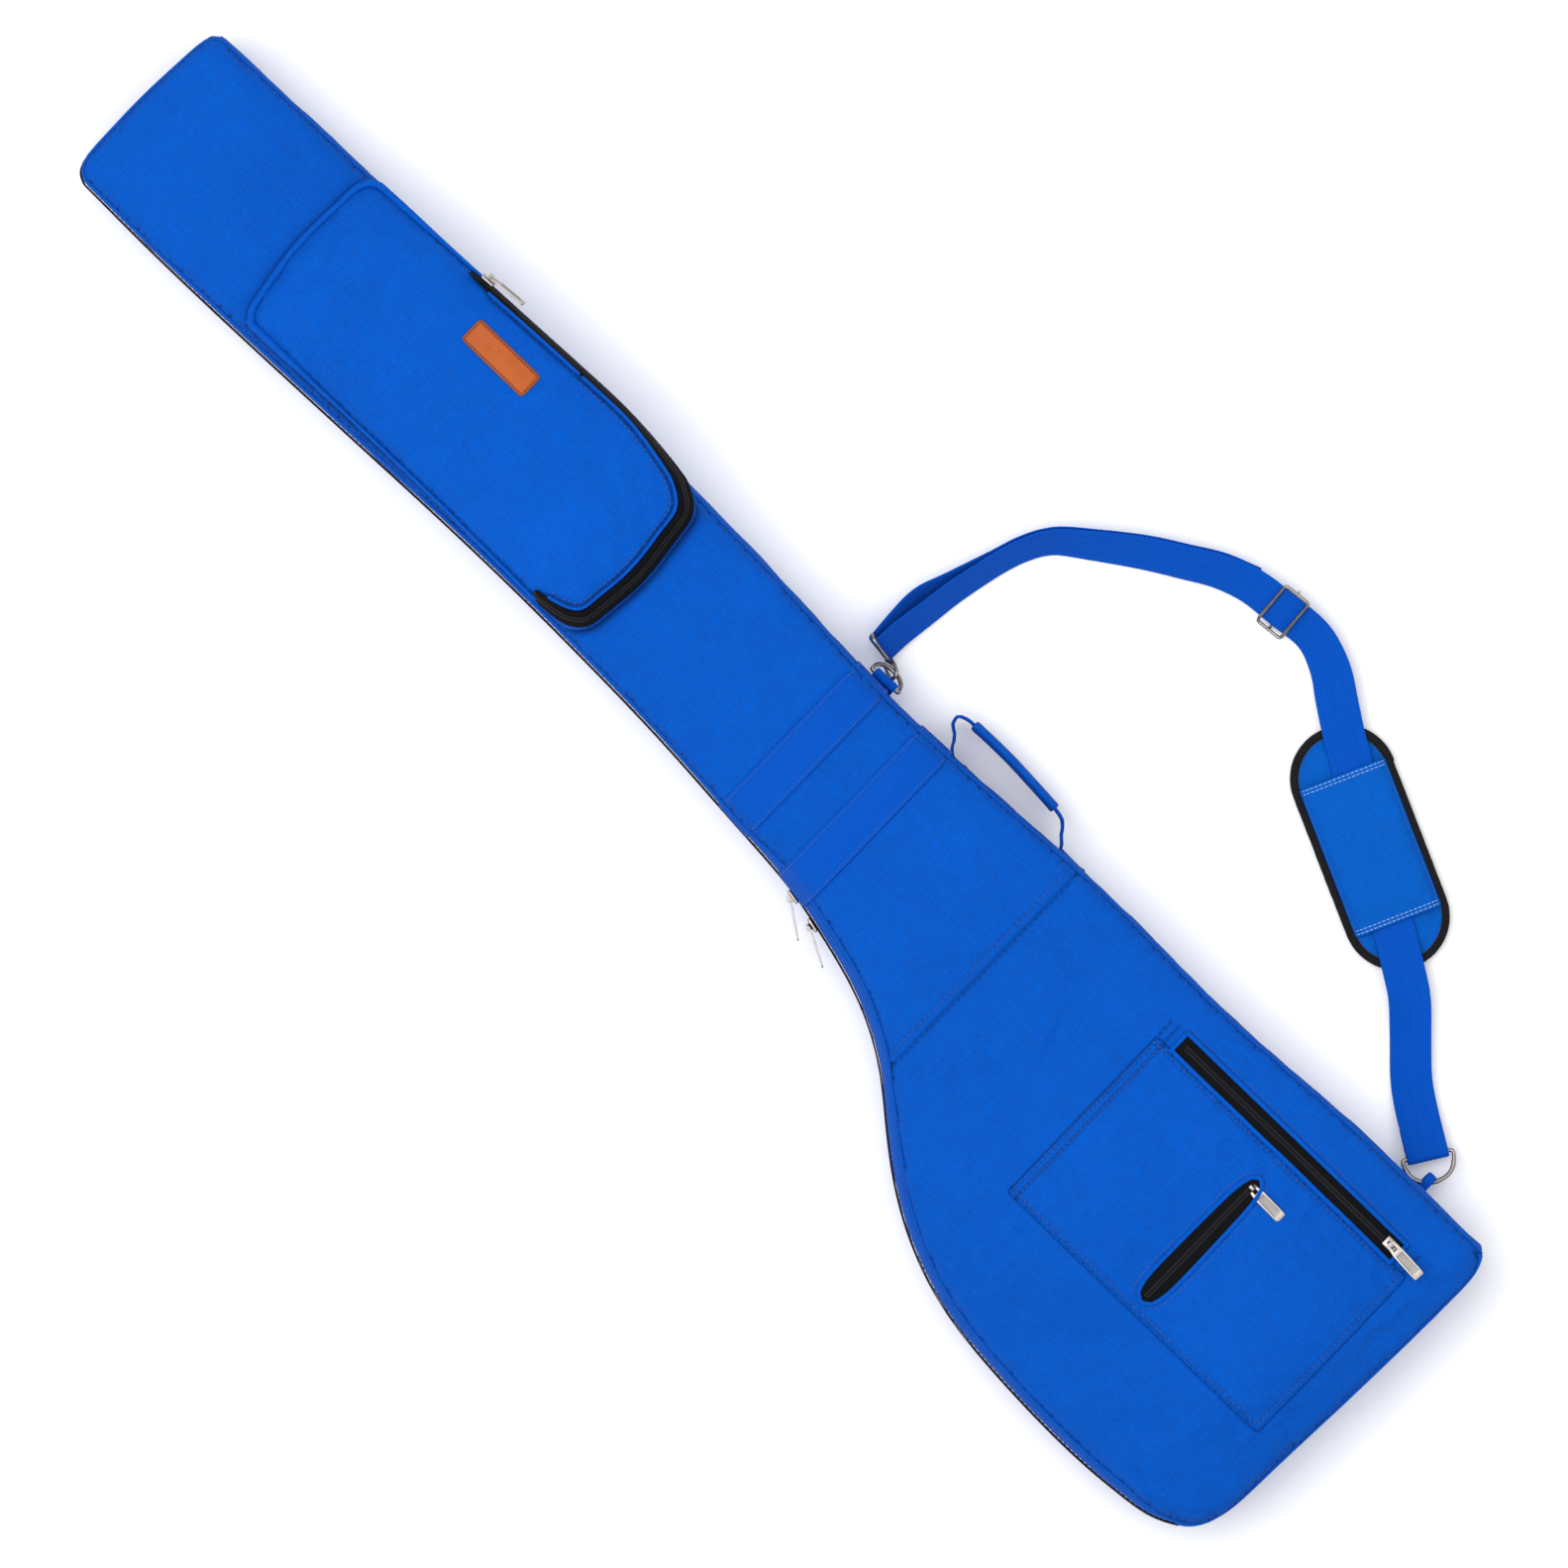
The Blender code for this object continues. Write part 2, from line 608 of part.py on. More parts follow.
def pocket_base_loop(loop, inset):
    """Where the wall stands on the front panel: the outline held inside the panel's edge."""
    held = []
    for point in inset_loop(inset, loop):
        right = edge_x(point.y, 1) - PANEL_INSET - 0.0016 - inset
        left = edge_x(point.y, -1) + PANEL_INSET + 0.0016 + inset
        held.append(Vector((min(max(point.x, left), right), point.y)))
    return held


def pocket_wall_top(y):
    return POCKET_WALL_Z - 0.006 * smoothstep(y, 0.30, 0.46)


def make_pocket():
    loop, zip_start, zip_end = pocket_loop()
    n = len(loop)

    def level(points, rise):
        return [Vector((p.x, p.y, pocket_wall_top(p.y) + rise)) for p in points]

    def on_panel(points):
        return [Vector((p.x, p.y, front_z(p.x, p.y) + 0.0010)) for p in points]

    middle = [a.lerp(b, 0.65) for a, b in zip(pocket_base_loop(loop, 0), loop)]
    middle_in = [a.lerp(b, 0.65) for a, b in zip(pocket_base_loop(loop, FABRIC), inset_loop(FABRIC, loop))]

    def half_height(points, base):
        return [Vector((p.x, p.y, 0.5 * (front_z(q.x, q.y) + pocket_wall_top(p.y))))
                for p, q in zip(points, base)]

    foot, foot_in = pocket_base_loop(loop, 0), pocket_base_loop(loop, FABRIC)
    outer = [on_panel(foot), half_height(middle, foot), level(loop, 0)]
    inner = [on_panel(foot_in), half_height(middle_in, foot_in), level(inset_loop(FABRIC, loop), 0)]
    two_skins("pocket_gusset", outer, inner, "blue_fabric", wrap=True)

    def stretch(points, first, last):
        chosen = [points[(first + k) % n].copy() for k in range((last - first) % n + 1)]
        chosen[0] += (chosen[1] - chosen[0]).normalized() * GAP / 2
        chosen[-1] += (chosen[-2] - chosen[-1]).normalized() * GAP / 2
        return chosen

    def slanted(name, slot, first, last, low, high):
        rows_out, rows_in = [], []
        for rise in (low, high):
            f = rise / POCKET_ZIP_RISE
            edge = [a.lerp(b, f) for a, b in zip(loop, pocket_lid_loop(loop, 0.011))]
            inner_top = pocket_lid_loop(loop, 0.011 + FABRIC)
            back = [a.lerp(b, f) for a, b in zip(inset_loop(FABRIC, loop), inner_top)]
            rows_out.append(level(stretch(edge, first, last), rise))
            rows_in.append(level(stretch(back, first, last), rise))
        return two_skins(name, rows_out, rows_in, slot)

    middle_low, middle_high = POCKET_ZIP_RISE / 2 - GAP / 2, POCKET_ZIP_RISE / 2 + GAP / 2
    high = POCKET_ZIP_RISE - GAP
    slanted("pocket_wall_upper", "blue_fabric", zip_end, zip_start, GAP, high)
    slanted("pocket_zip_lower", "black_zip", zip_start, zip_end, GAP, middle_low)
    flap_tape = slanted("pocket_zip_flap", "black_zip", zip_start, zip_end, middle_high, high)
    fixed_tape = slanted("pocket_zip_fixed", "black_zip", zip_start, zip_end, middle_high, high)

    lid_edge = pocket_lid_loop(loop, 0.0130)
    lid_under = pocket_lid_loop(loop, 0.0160)
    centre_x = 0.006
    spine_low, spine_high = 0.205, 0.405
    rings = (0.0, 0.16, 0.42, 1.0)

    def lid_rings(edge, drop):
        rows = []
        for f in rings:
            row = []
            for p in edge:
                spine = Vector((centre_x, min(max(p.y, spine_low), spine_high)))
                q = p.lerp(spine, f * 0.97)
                bulge = POCKET_CROWN * math.sqrt(1 - (1 - f) ** 2)
                row.append(Vector((q.x, q.y, pocket_wall_top(p.y) + POCKET_ZIP_RISE + bulge - drop)))
            rows.append(row)
        return rows

    def lid_solid(name, slot):
        top, under = lid_rings(lid_edge, 0), lid_rings(lid_under, POCKET_FOAM)
        rows = under[::-1] + top
        count = len(lid_edge)
        vertices = [p for row in rows for p in row]
        faces = []
        for i in range(len(rows) - 1):
            for j in range(count):
                k = (j + 1) % count
                faces.append((i * count + j, i * count + k, (i + 1) * count + k, (i + 1) * count + j))
        made = new_object(name, vertices, faces, slot)
        bm = bmesh.new()
        bm.from_mesh(made.data)
        rim = [edge for edge in bm.edges if edge.is_boundary]
        bmesh.ops.triangle_fill(bm, edges=rim[:], use_beauty=True)
        bmesh.ops.recalc_face_normals(bm, faces=bm.faces[:])
        bm.to_mesh(made.data)
        bm.free()
        return made

    fold = (FOLD_RIGHT - FOLD_LEFT).normalized()
    across = Vector((fold.y, -fold.x, 0))           # towards the flap
    lid = lid_solid("pocket_lid", "blue_fabric")
    flap = lid_solid("pocket_flap", "blue_fabric")
    cut_away(lid, FOLD_LEFT - across * 0.0003, across)
    cut_away(fixed_tape, FOLD_LEFT - across * 0.0003, across)
    cut_away(flap, FOLD_LEFT + across * 0.0003, -across)
    cut_away(flap_tape, FOLD_LEFT + across * 0.0003, -across)


def pocket_top_z(y):
    return pocket_wall_top(y) + POCKET_ZIP_RISE + POCKET_CROWN


def make_patch():
    """Small leather patch on the pocket's lid."""
    wide, long, corner_radius = 0.0205, 0.0600, 0.004
    loop = []
    for sx, sy, start in ((1, 1, 0), (-1, 1, 90), (-1, -1, 180), (1, -1, 270)):
        for k in range(4):
            turn = math.radians(start + 30 * k)
            loop.append((sx * (wide / 2 - corner_radius) + corner_radius * math.cos(turn),
                         sy * (long / 2 - corner_radius) + corner_radius * math.sin(turn)))
    x, y = 0.0430, 0.3120
    base = pocket_top_z(y) + 0.0008
    place = Matrix.Translation((x, y, base)) @ Matrix.Rotation(math.radians(6), 4, "Y")
    n = len(loop)
    vertices = [place @ Vector((a, b, h)) for h in (0.0, 0.0015) for a, b in loop]
    faces = [tuple(range(n)), tuple(reversed(range(n, 2 * n)))]
    faces += [(j, (j + 1) % n, n + (j + 1) % n, n + j) for j in range(n)]
    new_object("leather_patch", vertices, faces, "leather")


# ---- flat pocket and its two zips ---------------------------------------------------------
LONG_ZIP_X = 0.0290
LONG_ZIP_Y = (-0.3600, -0.5720)
SHORT_ZIP_Y = -0.4660
SHORT_ZIP_X = (-0.1130, -0.0030)


def draped(name, xs, ys, lift, thickness, slot):
    outer = [[Vector((x, y, front_z(x, y) + lift + thickness)) for x in xs] for y in ys]
    inner = [[Vector((x, y, front_z(x, y) + lift)) for x in xs] for y in ys]
    return two_skins(name, outer, inner, slot)


def spread(low, high, count):
    return [low + (high - low) * k / (count - 1) for k in range(count)]


def raised_zip(name, ends, middle, half, lift, along_x):
    """A zip laid on the front: tape with the coil as a ridge along its middle."""
    profile = [-half, -0.0021, -0.0019, 0.0019, 0.0021, half]
    heights = [0.0010, 0.0010, 0.0022, 0.0022, 0.0010, 0.0010]
    outer, inner = [], []
    for along in spread(*ends, 8):
        top, under = [], []
        for side, height in zip(profile, heights):
            x, y = (along, middle + side) if along_x else (middle + side, along)
            base = front_z(x, y) + lift
            top.append(Vector((x, y, base + height)))
            under.append(Vector((x, y, base)))
        outer.append(top)
        inner.append(under)
    return two_skins(name, outer, inner, "black_zip")


def make_flat_pocket():
    draped("lower_pocket_panel", spread(-0.130, 0.0195, 9), spread(-0.345, -0.589, 12), 0.0008, FABRIC,
           "blue_fabric")
    raised_zip("long_zip", LONG_ZIP_Y, LONG_ZIP_X, 0.0082, 0.0010, False)
    raised_zip("short_zip", SHORT_ZIP_X, SHORT_ZIP_Y, 0.0075, 0.0008 + FABRIC + 0.0006, True)


# ---- zip sliders and pulls ----------------------------------------------------------------
PIVOT_RISE = 0.0039       # pull's pivot above the face the slider runs on


def zip_slider(name, origin, normal, travel, pull_along, angle=0.0):
    """A slider on a zip and its pull. The pull turns about a pin across pull_along, raised by angle."""
    place = frame_at(origin, travel, normal)
    body = rounded_box(name + "_slider", (0.0110, 0.0080, 0.0024), place @ Matrix.Translation((0, 0, 0.0012)),
                       "nickel", 0.0006)
    bridge_place = frame_at(origin + normal.normalized() * PIVOT_RISE, pull_along, normal)
    stand = bridge_place @ Matrix.Rotation(math.radians(90), 4, "X")
    outer = [(0.0029, -0.0020), (0.0029, 0.0008), (0.0018, 0.0023), (-0.0018, 0.0023), (-0.0029, 0.0008),
             (-0.0029, -0.0020)]
    inner = [(0.0018, -0.0012), (0.0018, 0.0004), (0.0012, 0.0013), (-0.0012, 0.0013), (-0.0018, 0.0004),
             (-0.0018, -0.0012)]
    bridge = ring_plate(name + "_bridge", outer, inner, -0.0011, 0.0011, "nickel", stand)
    joined(body, bridge)
    tilt = bridge_place @ Matrix.Rotation(math.radians(-angle), 4, "Y")
    slot_far, slot_near, slot_half = 0.0052, 0.0008, 0.0017
    half, length = 0.0042, 0.0300
    hole = [(slot_far, slot_half), (slot_near, slot_half), (slot_near, -slot_half), (slot_far, -slot_half)]
    rim = [(length - 0.0025, half), (0.0022, 0.0034), (-0.0008, 0.0026), (-0.0008, -0.0026),
           (0.0022, -0.0034), (length - 0.0025, -half), (length, -half + 0.0020), (length, half - 0.0020)]
    hole_loop = [hole[0], (0.0030, slot_half), hole[1], hole[2], (0.0030, -slot_half), hole[3],
                 (slot_far, -0.0006), (slot_far, 0.0006)]
    ring_plate(name + "_pull", rim, hole_loop, -0.0006, 0.0006, "nickel", tilt)


def make_sliders():
    """Five sliders with their pulls; returns each one's origin and normal."""
    up = Vector((0, 0, 1))
    down_y = Vector((0, -1, 0))
    frames = {}

    def add(name, origin, normal, travel, pull_along, angle):
        zip_slider(name, origin, normal, travel, pull_along, angle)
        frames[name] = (origin, normal.normalized())

    long_base = front_z(LONG_ZIP_X, -0.565) + 0.0010 + 0.0022 + 0.0009
    add("long_zip", Vector((LONG_ZIP_X + 0.001, -0.5640, long_base)), up, down_y, Vector((-0.07, -1, 0)), 3.0)
    short_base = front_z(-0.009, SHORT_ZIP_Y) + 0.0026 + 0.0022 + GAP
    add("short_zip", Vector((-0.0090, SHORT_ZIP_Y, short_base)), up, Vector((1, 0, 0)),
        Vector((-0.03, -1, 0)), 3.0)
    pocket_x = smooth_value(POCKET_RIGHT, POCKET_SLIDER_Y - 0.006)
    side = Vector((0.955, 0.04, 0.30)).normalized()
    add("pocket_zip", Vector((pocket_x - 0.0016, POCKET_SLIDER_Y - 0.006, pocket_wall_top(0.35) + 0.0052))
        + side * 0.0014, side, down_y, down_y, 4.0)
    for name, y, swing in (("main_zip_upper", -0.0960, 24.0), ("main_zip_lower", -0.1200, 16.0)):
        slope = edge_slope(y, -1)
        along = Vector((-slope, -1, 0)).normalized()
        out = Vector((along.y, -along.x, 0))
        x = edge_x(y, -1)
        add(name + "_end", Vector((x, y, OPENING_Z)) + out * 0.0024, out, along, along, swing)
    return frames


# ---- handle -------------------------------------------------------------------------------
HANDLE_Z = 0.0240
HANDLE_HALF = 0.0115
HANDLE_AXIS = (Vector((0.0720, -0.1000, HANDLE_Z)), Vector((0.0735, -0.2080, HANDLE_Z)))


def make_handle():
    """Webbing handle on edge beside the right-hand wall, on two sewn roots."""
    side = Vector((0, 0, 1))
    path = [Vector(p) for p in ((0.0765, -0.0975, HANDLE_Z), (0.0806, -0.0918, HANDLE_Z),
                                (0.0862, -0.0905, HANDLE_Z), (0.0898, -0.0965, HANDLE_Z),
                                (0.0906, -0.1100, HANDLE_Z), (0.0907, -0.1370, HANDLE_Z),
                                (0.0893, -0.1630, HANDLE_Z), (0.0876, -0.1850, HANDLE_Z),
                                (0.0855, -0.1945, HANDLE_Z), (0.0815, -0.1988, HANDLE_Z),
                                (0.0775, -0.2015, HANDLE_Z))]
    curve = smooth_path(path, 0.004)

    def half_width(point):
        """The webbing is pinched narrow at both ends, where it turns on its roots."""
        end = min((point - path[0]).length, (point - path[-1]).length)
        return HANDLE_HALF * (0.36 + 0.64 * smoothstep(end, 0.002, 0.013))

    strip("handle_web", [(p, side, half_width(p)) for p in curve], "blue_webbing", 0.0020)
    grip_path = [p for p in curve if -0.188 < p.y < -0.101 and p.x > 0.086]
    clear = 0.0010 + GAP
    outer, inner = [], []
    for i, p in enumerate(grip_path):
        before = grip_path[max(i - 1, 0)]
        after = grip_path[min(i + 1, len(grip_path) - 1)]
        tangent = (after - before).normalized()
        normal = tangent.cross(side)
        tall = HANDLE_HALF + 0.0006
        corners = ((1, 1), (1, -1), (-1, -1), (-1, 1))
        wall = 0.0014
        outer.append([p + normal * a * (clear + wall) + side * b * (tall + wall) for a, b in corners])
        inner.append([p + normal * a * clear + side * b * tall for a, b in corners])
    two_skins("handle_grip", outer, inner, "blue_webbing", wrap=True)
    roots = (("handle_root_upper", -0.1080, -0.1010), ("handle_root_lower", -0.2190, -0.2070))
    for name, y, reach_y in roots:
        wall_x = edge_x(y, 1) + 0.0017
        way = 1 if reach_y > y else -1
        points = [Vector((wall_x, y - way * 0.012, HANDLE_Z)), Vector((wall_x, y, HANDLE_Z)),
                  Vector((0.0700, reach_y - way * 0.0010, HANDLE_Z)), Vector((0.0722, reach_y, HANDLE_Z))]
        rows = smooth_path(points, 0.004)
        strip(name, [(p, side, HANDLE_HALF) for p in rows], "blue_webbing", 0.0020)


# ---- strap rings and hook -----------------------------------------------------------------
UPPER_RING = Vector((0.0690, -0.0360, 0.0425))
LOWER_RING = Vector((0.0800, -0.5590, 0.0160))
SWING = (UPPER_RING - LOWER_RING).normalized()
RING_WIRE = 0.00165
RING_DROP = Vector((0.60, 0, -0.80))
HOOK_FROM = UPPER_RING + RING_DROP * 0.0128
CROSSBAR = Vector((0.0850, -0.0170, 0.0185))
CROSSBAR_SIDE = Vector((0.057, 0.571, 0.819)).normalized()
STRAP_LEAVES = Vector((0.97, -0.183, 0.060)).normalized()
ROD = 0.0014


def d_ring_path(bar_centre, bar_along, depth_along, half, depth):
    """Closed path of a D: a straight bar and a bow that reaches depth from it."""
    along = bar_along.normalized()
    out = (depth_along - along * depth_along.dot(along)).normalized()
    points = [bar_centre + along * (half * (1 - 2 * k / 4)) for k in range(5)]
    for k in range(1, 12):
        turn = math.pi * k / 12
        points.append(bar_centre - along * half * math.cos(turn) + out * depth * math.sin(turn) ** 0.75)
    return points


def make_rings():
    round_bar("d_ring_upper", d_ring_path(UPPER_RING, SWING, RING_DROP, 0.0125, 0.0150), RING_WIRE, "nickel",
              closed=True)
    tab_wall = edge_x(UPPER_RING.y, 1) + 0.0020
    loop_radius = RING_WIRE + 0.0006 + WEBBING / 2
    points = [Vector((tab_wall, UPPER_RING.y, 0.0180)), Vector((tab_wall, UPPER_RING.y, 0.0290)),
              Vector((tab_wall + 0.0014, UPPER_RING.y, 0.0345))]
    for k in range(9):
        turn = math.radians(-60 + 235 * k / 8)
        points.append(UPPER_RING + loop_radius * Vector((math.cos(turn), 0, math.sin(turn))))
    rows = [(p, SWING, 0.0098) for p in points]
    strip("d_ring_tab", rows, "blue_webbing")

    tab_half = 0.0025
    radius = 0.0070
    wall_x = edge_x(LOWER_RING.y, 1)
    rows = []
    for k in range(15):
        turn = math.radians(200 - 380 * k / 14 * 0.93)
        rows.append((LOWER_RING + radius * Vector((math.cos(turn), 0, math.sin(turn))),
                     Vector((0, 1, 0)), tab_half))
    rows.insert(0, (Vector((wall_x + 0.0012, LOWER_RING.y, 0.0060)), Vector((0, 1, 0)), tab_half))
    rows = [row for row in rows if row[0].x > wall_x + 0.0011]
    strip("ring_tab_lower", rows, "blue_webbing", 0.0012)


HOOK_AXIS = (HOOK_FROM - CROSSBAR).normalized()
HOOK_BEND = SWING.cross(HOOK_AXIS).normalized()
EYE_TALL = 0.0108
HOOK_BOW = 0.0042
HOOK_NECK = CROSSBAR + HOOK_AXIS * (EYE_TALL + ROD + GAP)


def gate_ends():
    """The gate's free end, just short of the hook's tip, and its pivot end."""
    free = HOOK_FROM - HOOK_BEND * HOOK_BOW - HOOK_AXIS * (0.0022 + GAP)
    pivot = HOOK_NECK + HOOK_AXIS * 0.0012 - HOOK_BEND * (ROD * 2 + 0.0012)
    return free, pivot


def make_hook():
    """Snap hook: a crossbar frame for the webbing, a swivelling hook and its sprung gate."""
    axis = HOOK_AXIS
    half, tall = 0.0172, EYE_TALL
    frame_path = []
    for u, v in ((-1, 0), (-0.5, 0), (0, 0), (0.5, 0), (1, 0), (1.08, 0.14), (1.08, 0.52), (0.76, 0.88),
                 (0.25, 1.0), (-0.25, 1.0), (-0.76, 0.88), (-1.08, 0.52), (-1.08, 0.14)):
        frame_path.append(CROSSBAR + CROSSBAR_SIDE * half * u + axis * tall * v)
    round_bar("hook_eye", frame_path, ROD, "nickel", closed=True)
    bend = HOOK_BEND * HOOK_BOW
    start = HOOK_FROM - axis * 0.0060 + bend
    hook_path = [HOOK_NECK, HOOK_NECK + axis * 0.0012, start + axis * 0.0008, start + axis * 0.0030]
    for k in range(1, 9):
        turn = math.radians(22.5 * k)
        hook_path.append(HOOK_FROM + bend * math.cos(turn) + axis * HOOK_BOW * math.sin(turn))
    tip = hook_path[-1]
    hook_path.append(tip - axis * 0.0022)
    round_bar("snap_hook", hook_path, ROD, "nickel")
    free, pivot = gate_ends()
    round_bar("hook_gate", [free, free.lerp(pivot, 0.5), pivot], 0.0010, "nickel", sides=6)


# ---- shoulder strap -----------------------------------------------------------------------
STRAP_HALF = 0.0150
LAYER = 0.0030            # from one layer of webbing to the next
# centre line from the hook to the lower ring: x, y, roll in degrees (outer edge up), lift off the floor
STRAP_ROUTE = [(0.1010, -0.0208, 55, 0.0035), (0.1260, -0.0245, 57, 0.0016), (0.1500, -0.0280, 58, 0),
               (0.1830, -0.0355, 59, 0), (0.2050, -0.0430, 58, 0), (0.2230, -0.0540, 55, 0),
               (0.2400, -0.0750, 49, 0), (0.2620, -0.1055, 42, 0), (0.2780, -0.1320, 40, 0),
               (0.2900, -0.1530, 38, 0), (0.2985, -0.1770, 33, 0.0012), (0.3015, -0.2050, 30, 0.0020),
               (0.3035, -0.2330, 31, 0.0012), (0.2950, -0.2570, 21, 0.0040), (0.2820, -0.2760, 7, 0.0092),
               (0.2685, -0.2960, 0, 0.0098), (0.2560, -0.3163, 0, 0.0098), (0.2245, -0.3673, 0, 0.0098),
               (0.1930, -0.4184, 0, 0.0098), (0.1790, -0.4410, 0, 0.0098), (0.1660, -0.4600, 5, 0.0088),
               (0.1480, -0.4790, 15, 0.0010), (0.1270, -0.5000, 14, 0), (0.1130, -0.5185, 5, 0.0040)]
DOUBLED_TO = 11           # the second layer runs below the first from the hook to this route point
RETURN_SPREAD = [(0, 0.0075), (1, 0.0115), (2, 0.0070), (3, 0.0030), (11, 0.0030)]
LOWER_BAR = Vector((0.0945, -0.5470, 0.0115))
PAD_ALONG = Vector((-0.5252, -0.8510, 0))
BUCKLE_INDEX = 11


def flat_frame(points, index):
    before = points[max(index - 1, 0)]
    after = points[min(index + 1, len(points) - 1)]
    along = Vector((after[0] - before[0], after[1] - before[1], 0)).normalized()
    return along, Vector((-along.y, along.x, 0))


def route_frames():
    """Centre and width direction of the upper layer at each route point."""
    frames = []
    for i, (x, y, roll, lift) in enumerate(STRAP_ROUTE):
        along, out = flat_frame(STRAP_ROUTE, i)
        angle = math.radians(roll)
        side = out * math.cos(angle) + Vector((0, 0, math.sin(angle)))
        under = LAYER * math.cos(angle) if i <= DOUBLED_TO else 0.0
        z = STRAP_HALF * math.sin(angle) + WEBBING * 0.75 + lift + under
        frames.append((Vector((x, y, z)), side))
    return frames


def make_strap():
    frames = route_frames()
    side = CROSSBAR_SIDE
    along = (STRAP_LEAVES - side * STRAP_LEAVES.dot(side)).normalized()
    normal = along.cross(side)
    turn_radius = ROD + 0.0009 + WEBBING / 2
    packed = []

    def add(point, width):
        packed.append(Vector((*point, *width)))

    for i in range(BUCKLE_INDEX - 1, -1, -1):
        centre, width = frames[i]
        tangent, _ = flat_frame(STRAP_ROUTE, i)
        up = tangent.cross(width).normalized()
        drop = smooth_value(RETURN_SPREAD, i)
        out = Vector((-tangent.y, tangent.x, 0))
        shift = -up * LAYER + out * (drop - 0.0030)
        add(centre + shift, width)
    run = along * 0.0030
    add(CROSSBAR - normal * turn_radius + run, side)
    for k in range(7):
        turn = math.radians(-90 - 180 * k / 6)
        add(CROSSBAR + turn_radius * (along * math.cos(turn) + normal * math.sin(turn)), side)
    add(CROSSBAR + normal * turn_radius + run, side)
    for centre, width in frames:
        add(centre, width)
    last = frames[-1][0]
    reach = (LOWER_BAR - last).normalized()
    bar = Vector((0.69, -0.72, 0)).normalized()
    bar = -(bar - reach * bar.dot(reach)).normalized()
    above = reach.cross(bar)
    if above.z < 0:
        above = -above
    for k in range(6):
        turn = math.radians(90 - 180 * k / 5)
        add(LOWER_BAR + turn_radius * (reach * math.cos(turn) + above * math.sin(turn)), -bar)
    for step in (0.006, 0.014, 0.022):
        add(LOWER_BAR - above * turn_radius - reach * step, -bar)
    smooth = smooth_path(packed, 0.009)
    rows = [(Vector(p[:3]), Vector(p[3:]), STRAP_HALF) for p in smooth]
    strip("strap_web", rows, "blue_webbing")

    wire = d_ring_path(LOWER_BAR, bar, LOWER_RING - LOWER_BAR, 0.0180, (LOWER_RING - LOWER_BAR).length)
    round_bar("d_ring_lower", wire, RING_WIRE, "nickel", closed=True)


def make_buckle():
    """Three-bar adjuster round both layers: end bars above the webbing, middle bar below."""
    centre, side = route_frames()[BUCKLE_INDEX]
    along, _ = flat_frame(STRAP_ROUTE, BUCKLE_INDEX)
    up = along.cross(side).normalized()
    place = frame_at(centre, along, up)
    half_long, half_wide, wire = 0.0105, 0.0180, 0.0014
    lift = WEBBING / 2 + GAP + wire
    path = []
    for sx, sy, start in ((1, -1, -90), (1, 1, 0), (-1, 1, 90), (-1, -1, 180)):
        for k in range(3):
            turn = math.radians(start + 45 * k)
            path.append(place @ Vector((sx * (half_long - 0.002) + 0.002 * math.cos(turn),
                                        sy * (half_wide - 0.002) + 0.002 * math.sin(turn), lift)))
    frame = round_bar("tri_glide", path, wire, "nickel", closed=True)
    down = -(WEBBING / 2 + GAP + wire)
    bar_path = [place @ Vector(p) for p in ((0, -half_wide, lift), (0, -half_wide, down), (0, -0.009, down),
                                            (0, 0.009, down), (0, half_wide, down), (0, half_wide, lift))]
    joined(frame, round_bar("tri_glide_bar", bar_path, wire * 0.9, "nickel"))


def stadium(along, centre, half_long, half_wide, steps=8):
    """Loop of a stadium, as plan points."""
    across = Vector((-along.y, along.x))
    flat = Vector((along.x, along.y))
    straight = half_long - half_wide
    loop = []
    for sign, start in ((1, -90), (-1, 90)):
        for k in range(steps + 1):
            turn = math.radians(start + 180 * k / steps)
            loop.append(centre + flat * (sign * straight + half_wide * math.cos(turn))
                        + across * half_wide * math.sin(turn))
    return loop


PAD_CENTRE = Vector((0.2235, -0.3660))
PAD_AXIS = Vector((-0.420, -0.9075)).normalized()
PAD_HALF_LONG = 0.0910
PAD_HALF_WIDE = 0.0385
PAD_TOP = 0.0080


def make_pad():
    """Shoulder pad: foam base, edge binding and the sleeve that the strap runs through."""
    base = stadium(PAD_AXIS, PAD_CENTRE, PAD_HALF_LONG - 0.0024, PAD_HALF_WIDE - 0.0024)
    n = len(base)
    vertices = [Vector((p.x, p.y, z)) for z in (0.0004, PAD_TOP) for p in base]
    faces = [tuple(range(n)), tuple(reversed(range(n, 2 * n)))]
    faces += [(j, (j + 1) % n, n + (j + 1) % n, n + j) for j in range(n)]
    new_object("pad_base", vertices, faces, "blue_fabric")
    outer = [(p.x, p.y) for p in stadium(PAD_AXIS, PAD_CENTRE, PAD_HALF_LONG, PAD_HALF_WIDE)]
    inner = [(p.x, p.y) for p in stadium(PAD_AXIS, PAD_CENTRE, PAD_HALF_LONG - 0.0020, PAD_HALF_WIDE - 0.0020)]
    ring_plate("pad_binding", outer, inner, 0.0, PAD_TOP + 0.0006, "black_binding")
    across = Vector((-PAD_AXIS.y, PAD_AXIS.x))
    rows_out, rows_in = [], []
    bottom = PAD_TOP + GAP
    for f in (-1, -0.5, 0, 0.5, 1):
        row_out, row_in = [], []
        for g in (-1, -0.90, -0.78, 0, 0.78, 0.90, 1):
            p = PAD_CENTRE + PAD_AXIS * f * 0.0560 + across * g * (PAD_HALF_WIDE - 0.0060)
            rise = 0.0042 * smoothstep(1 - abs(g), 0.0, 0.21)
            row_out.append(Vector((p.x, p.y, bottom + 0.0010 + rise)))
            row_in.append(Vector((p.x, p.y, bottom + rise)))
        rows_out.append(row_out)
        rows_in.append(row_in)
    two_skins("pad_sleeve", rows_out, rows_in, "blue_fabric")


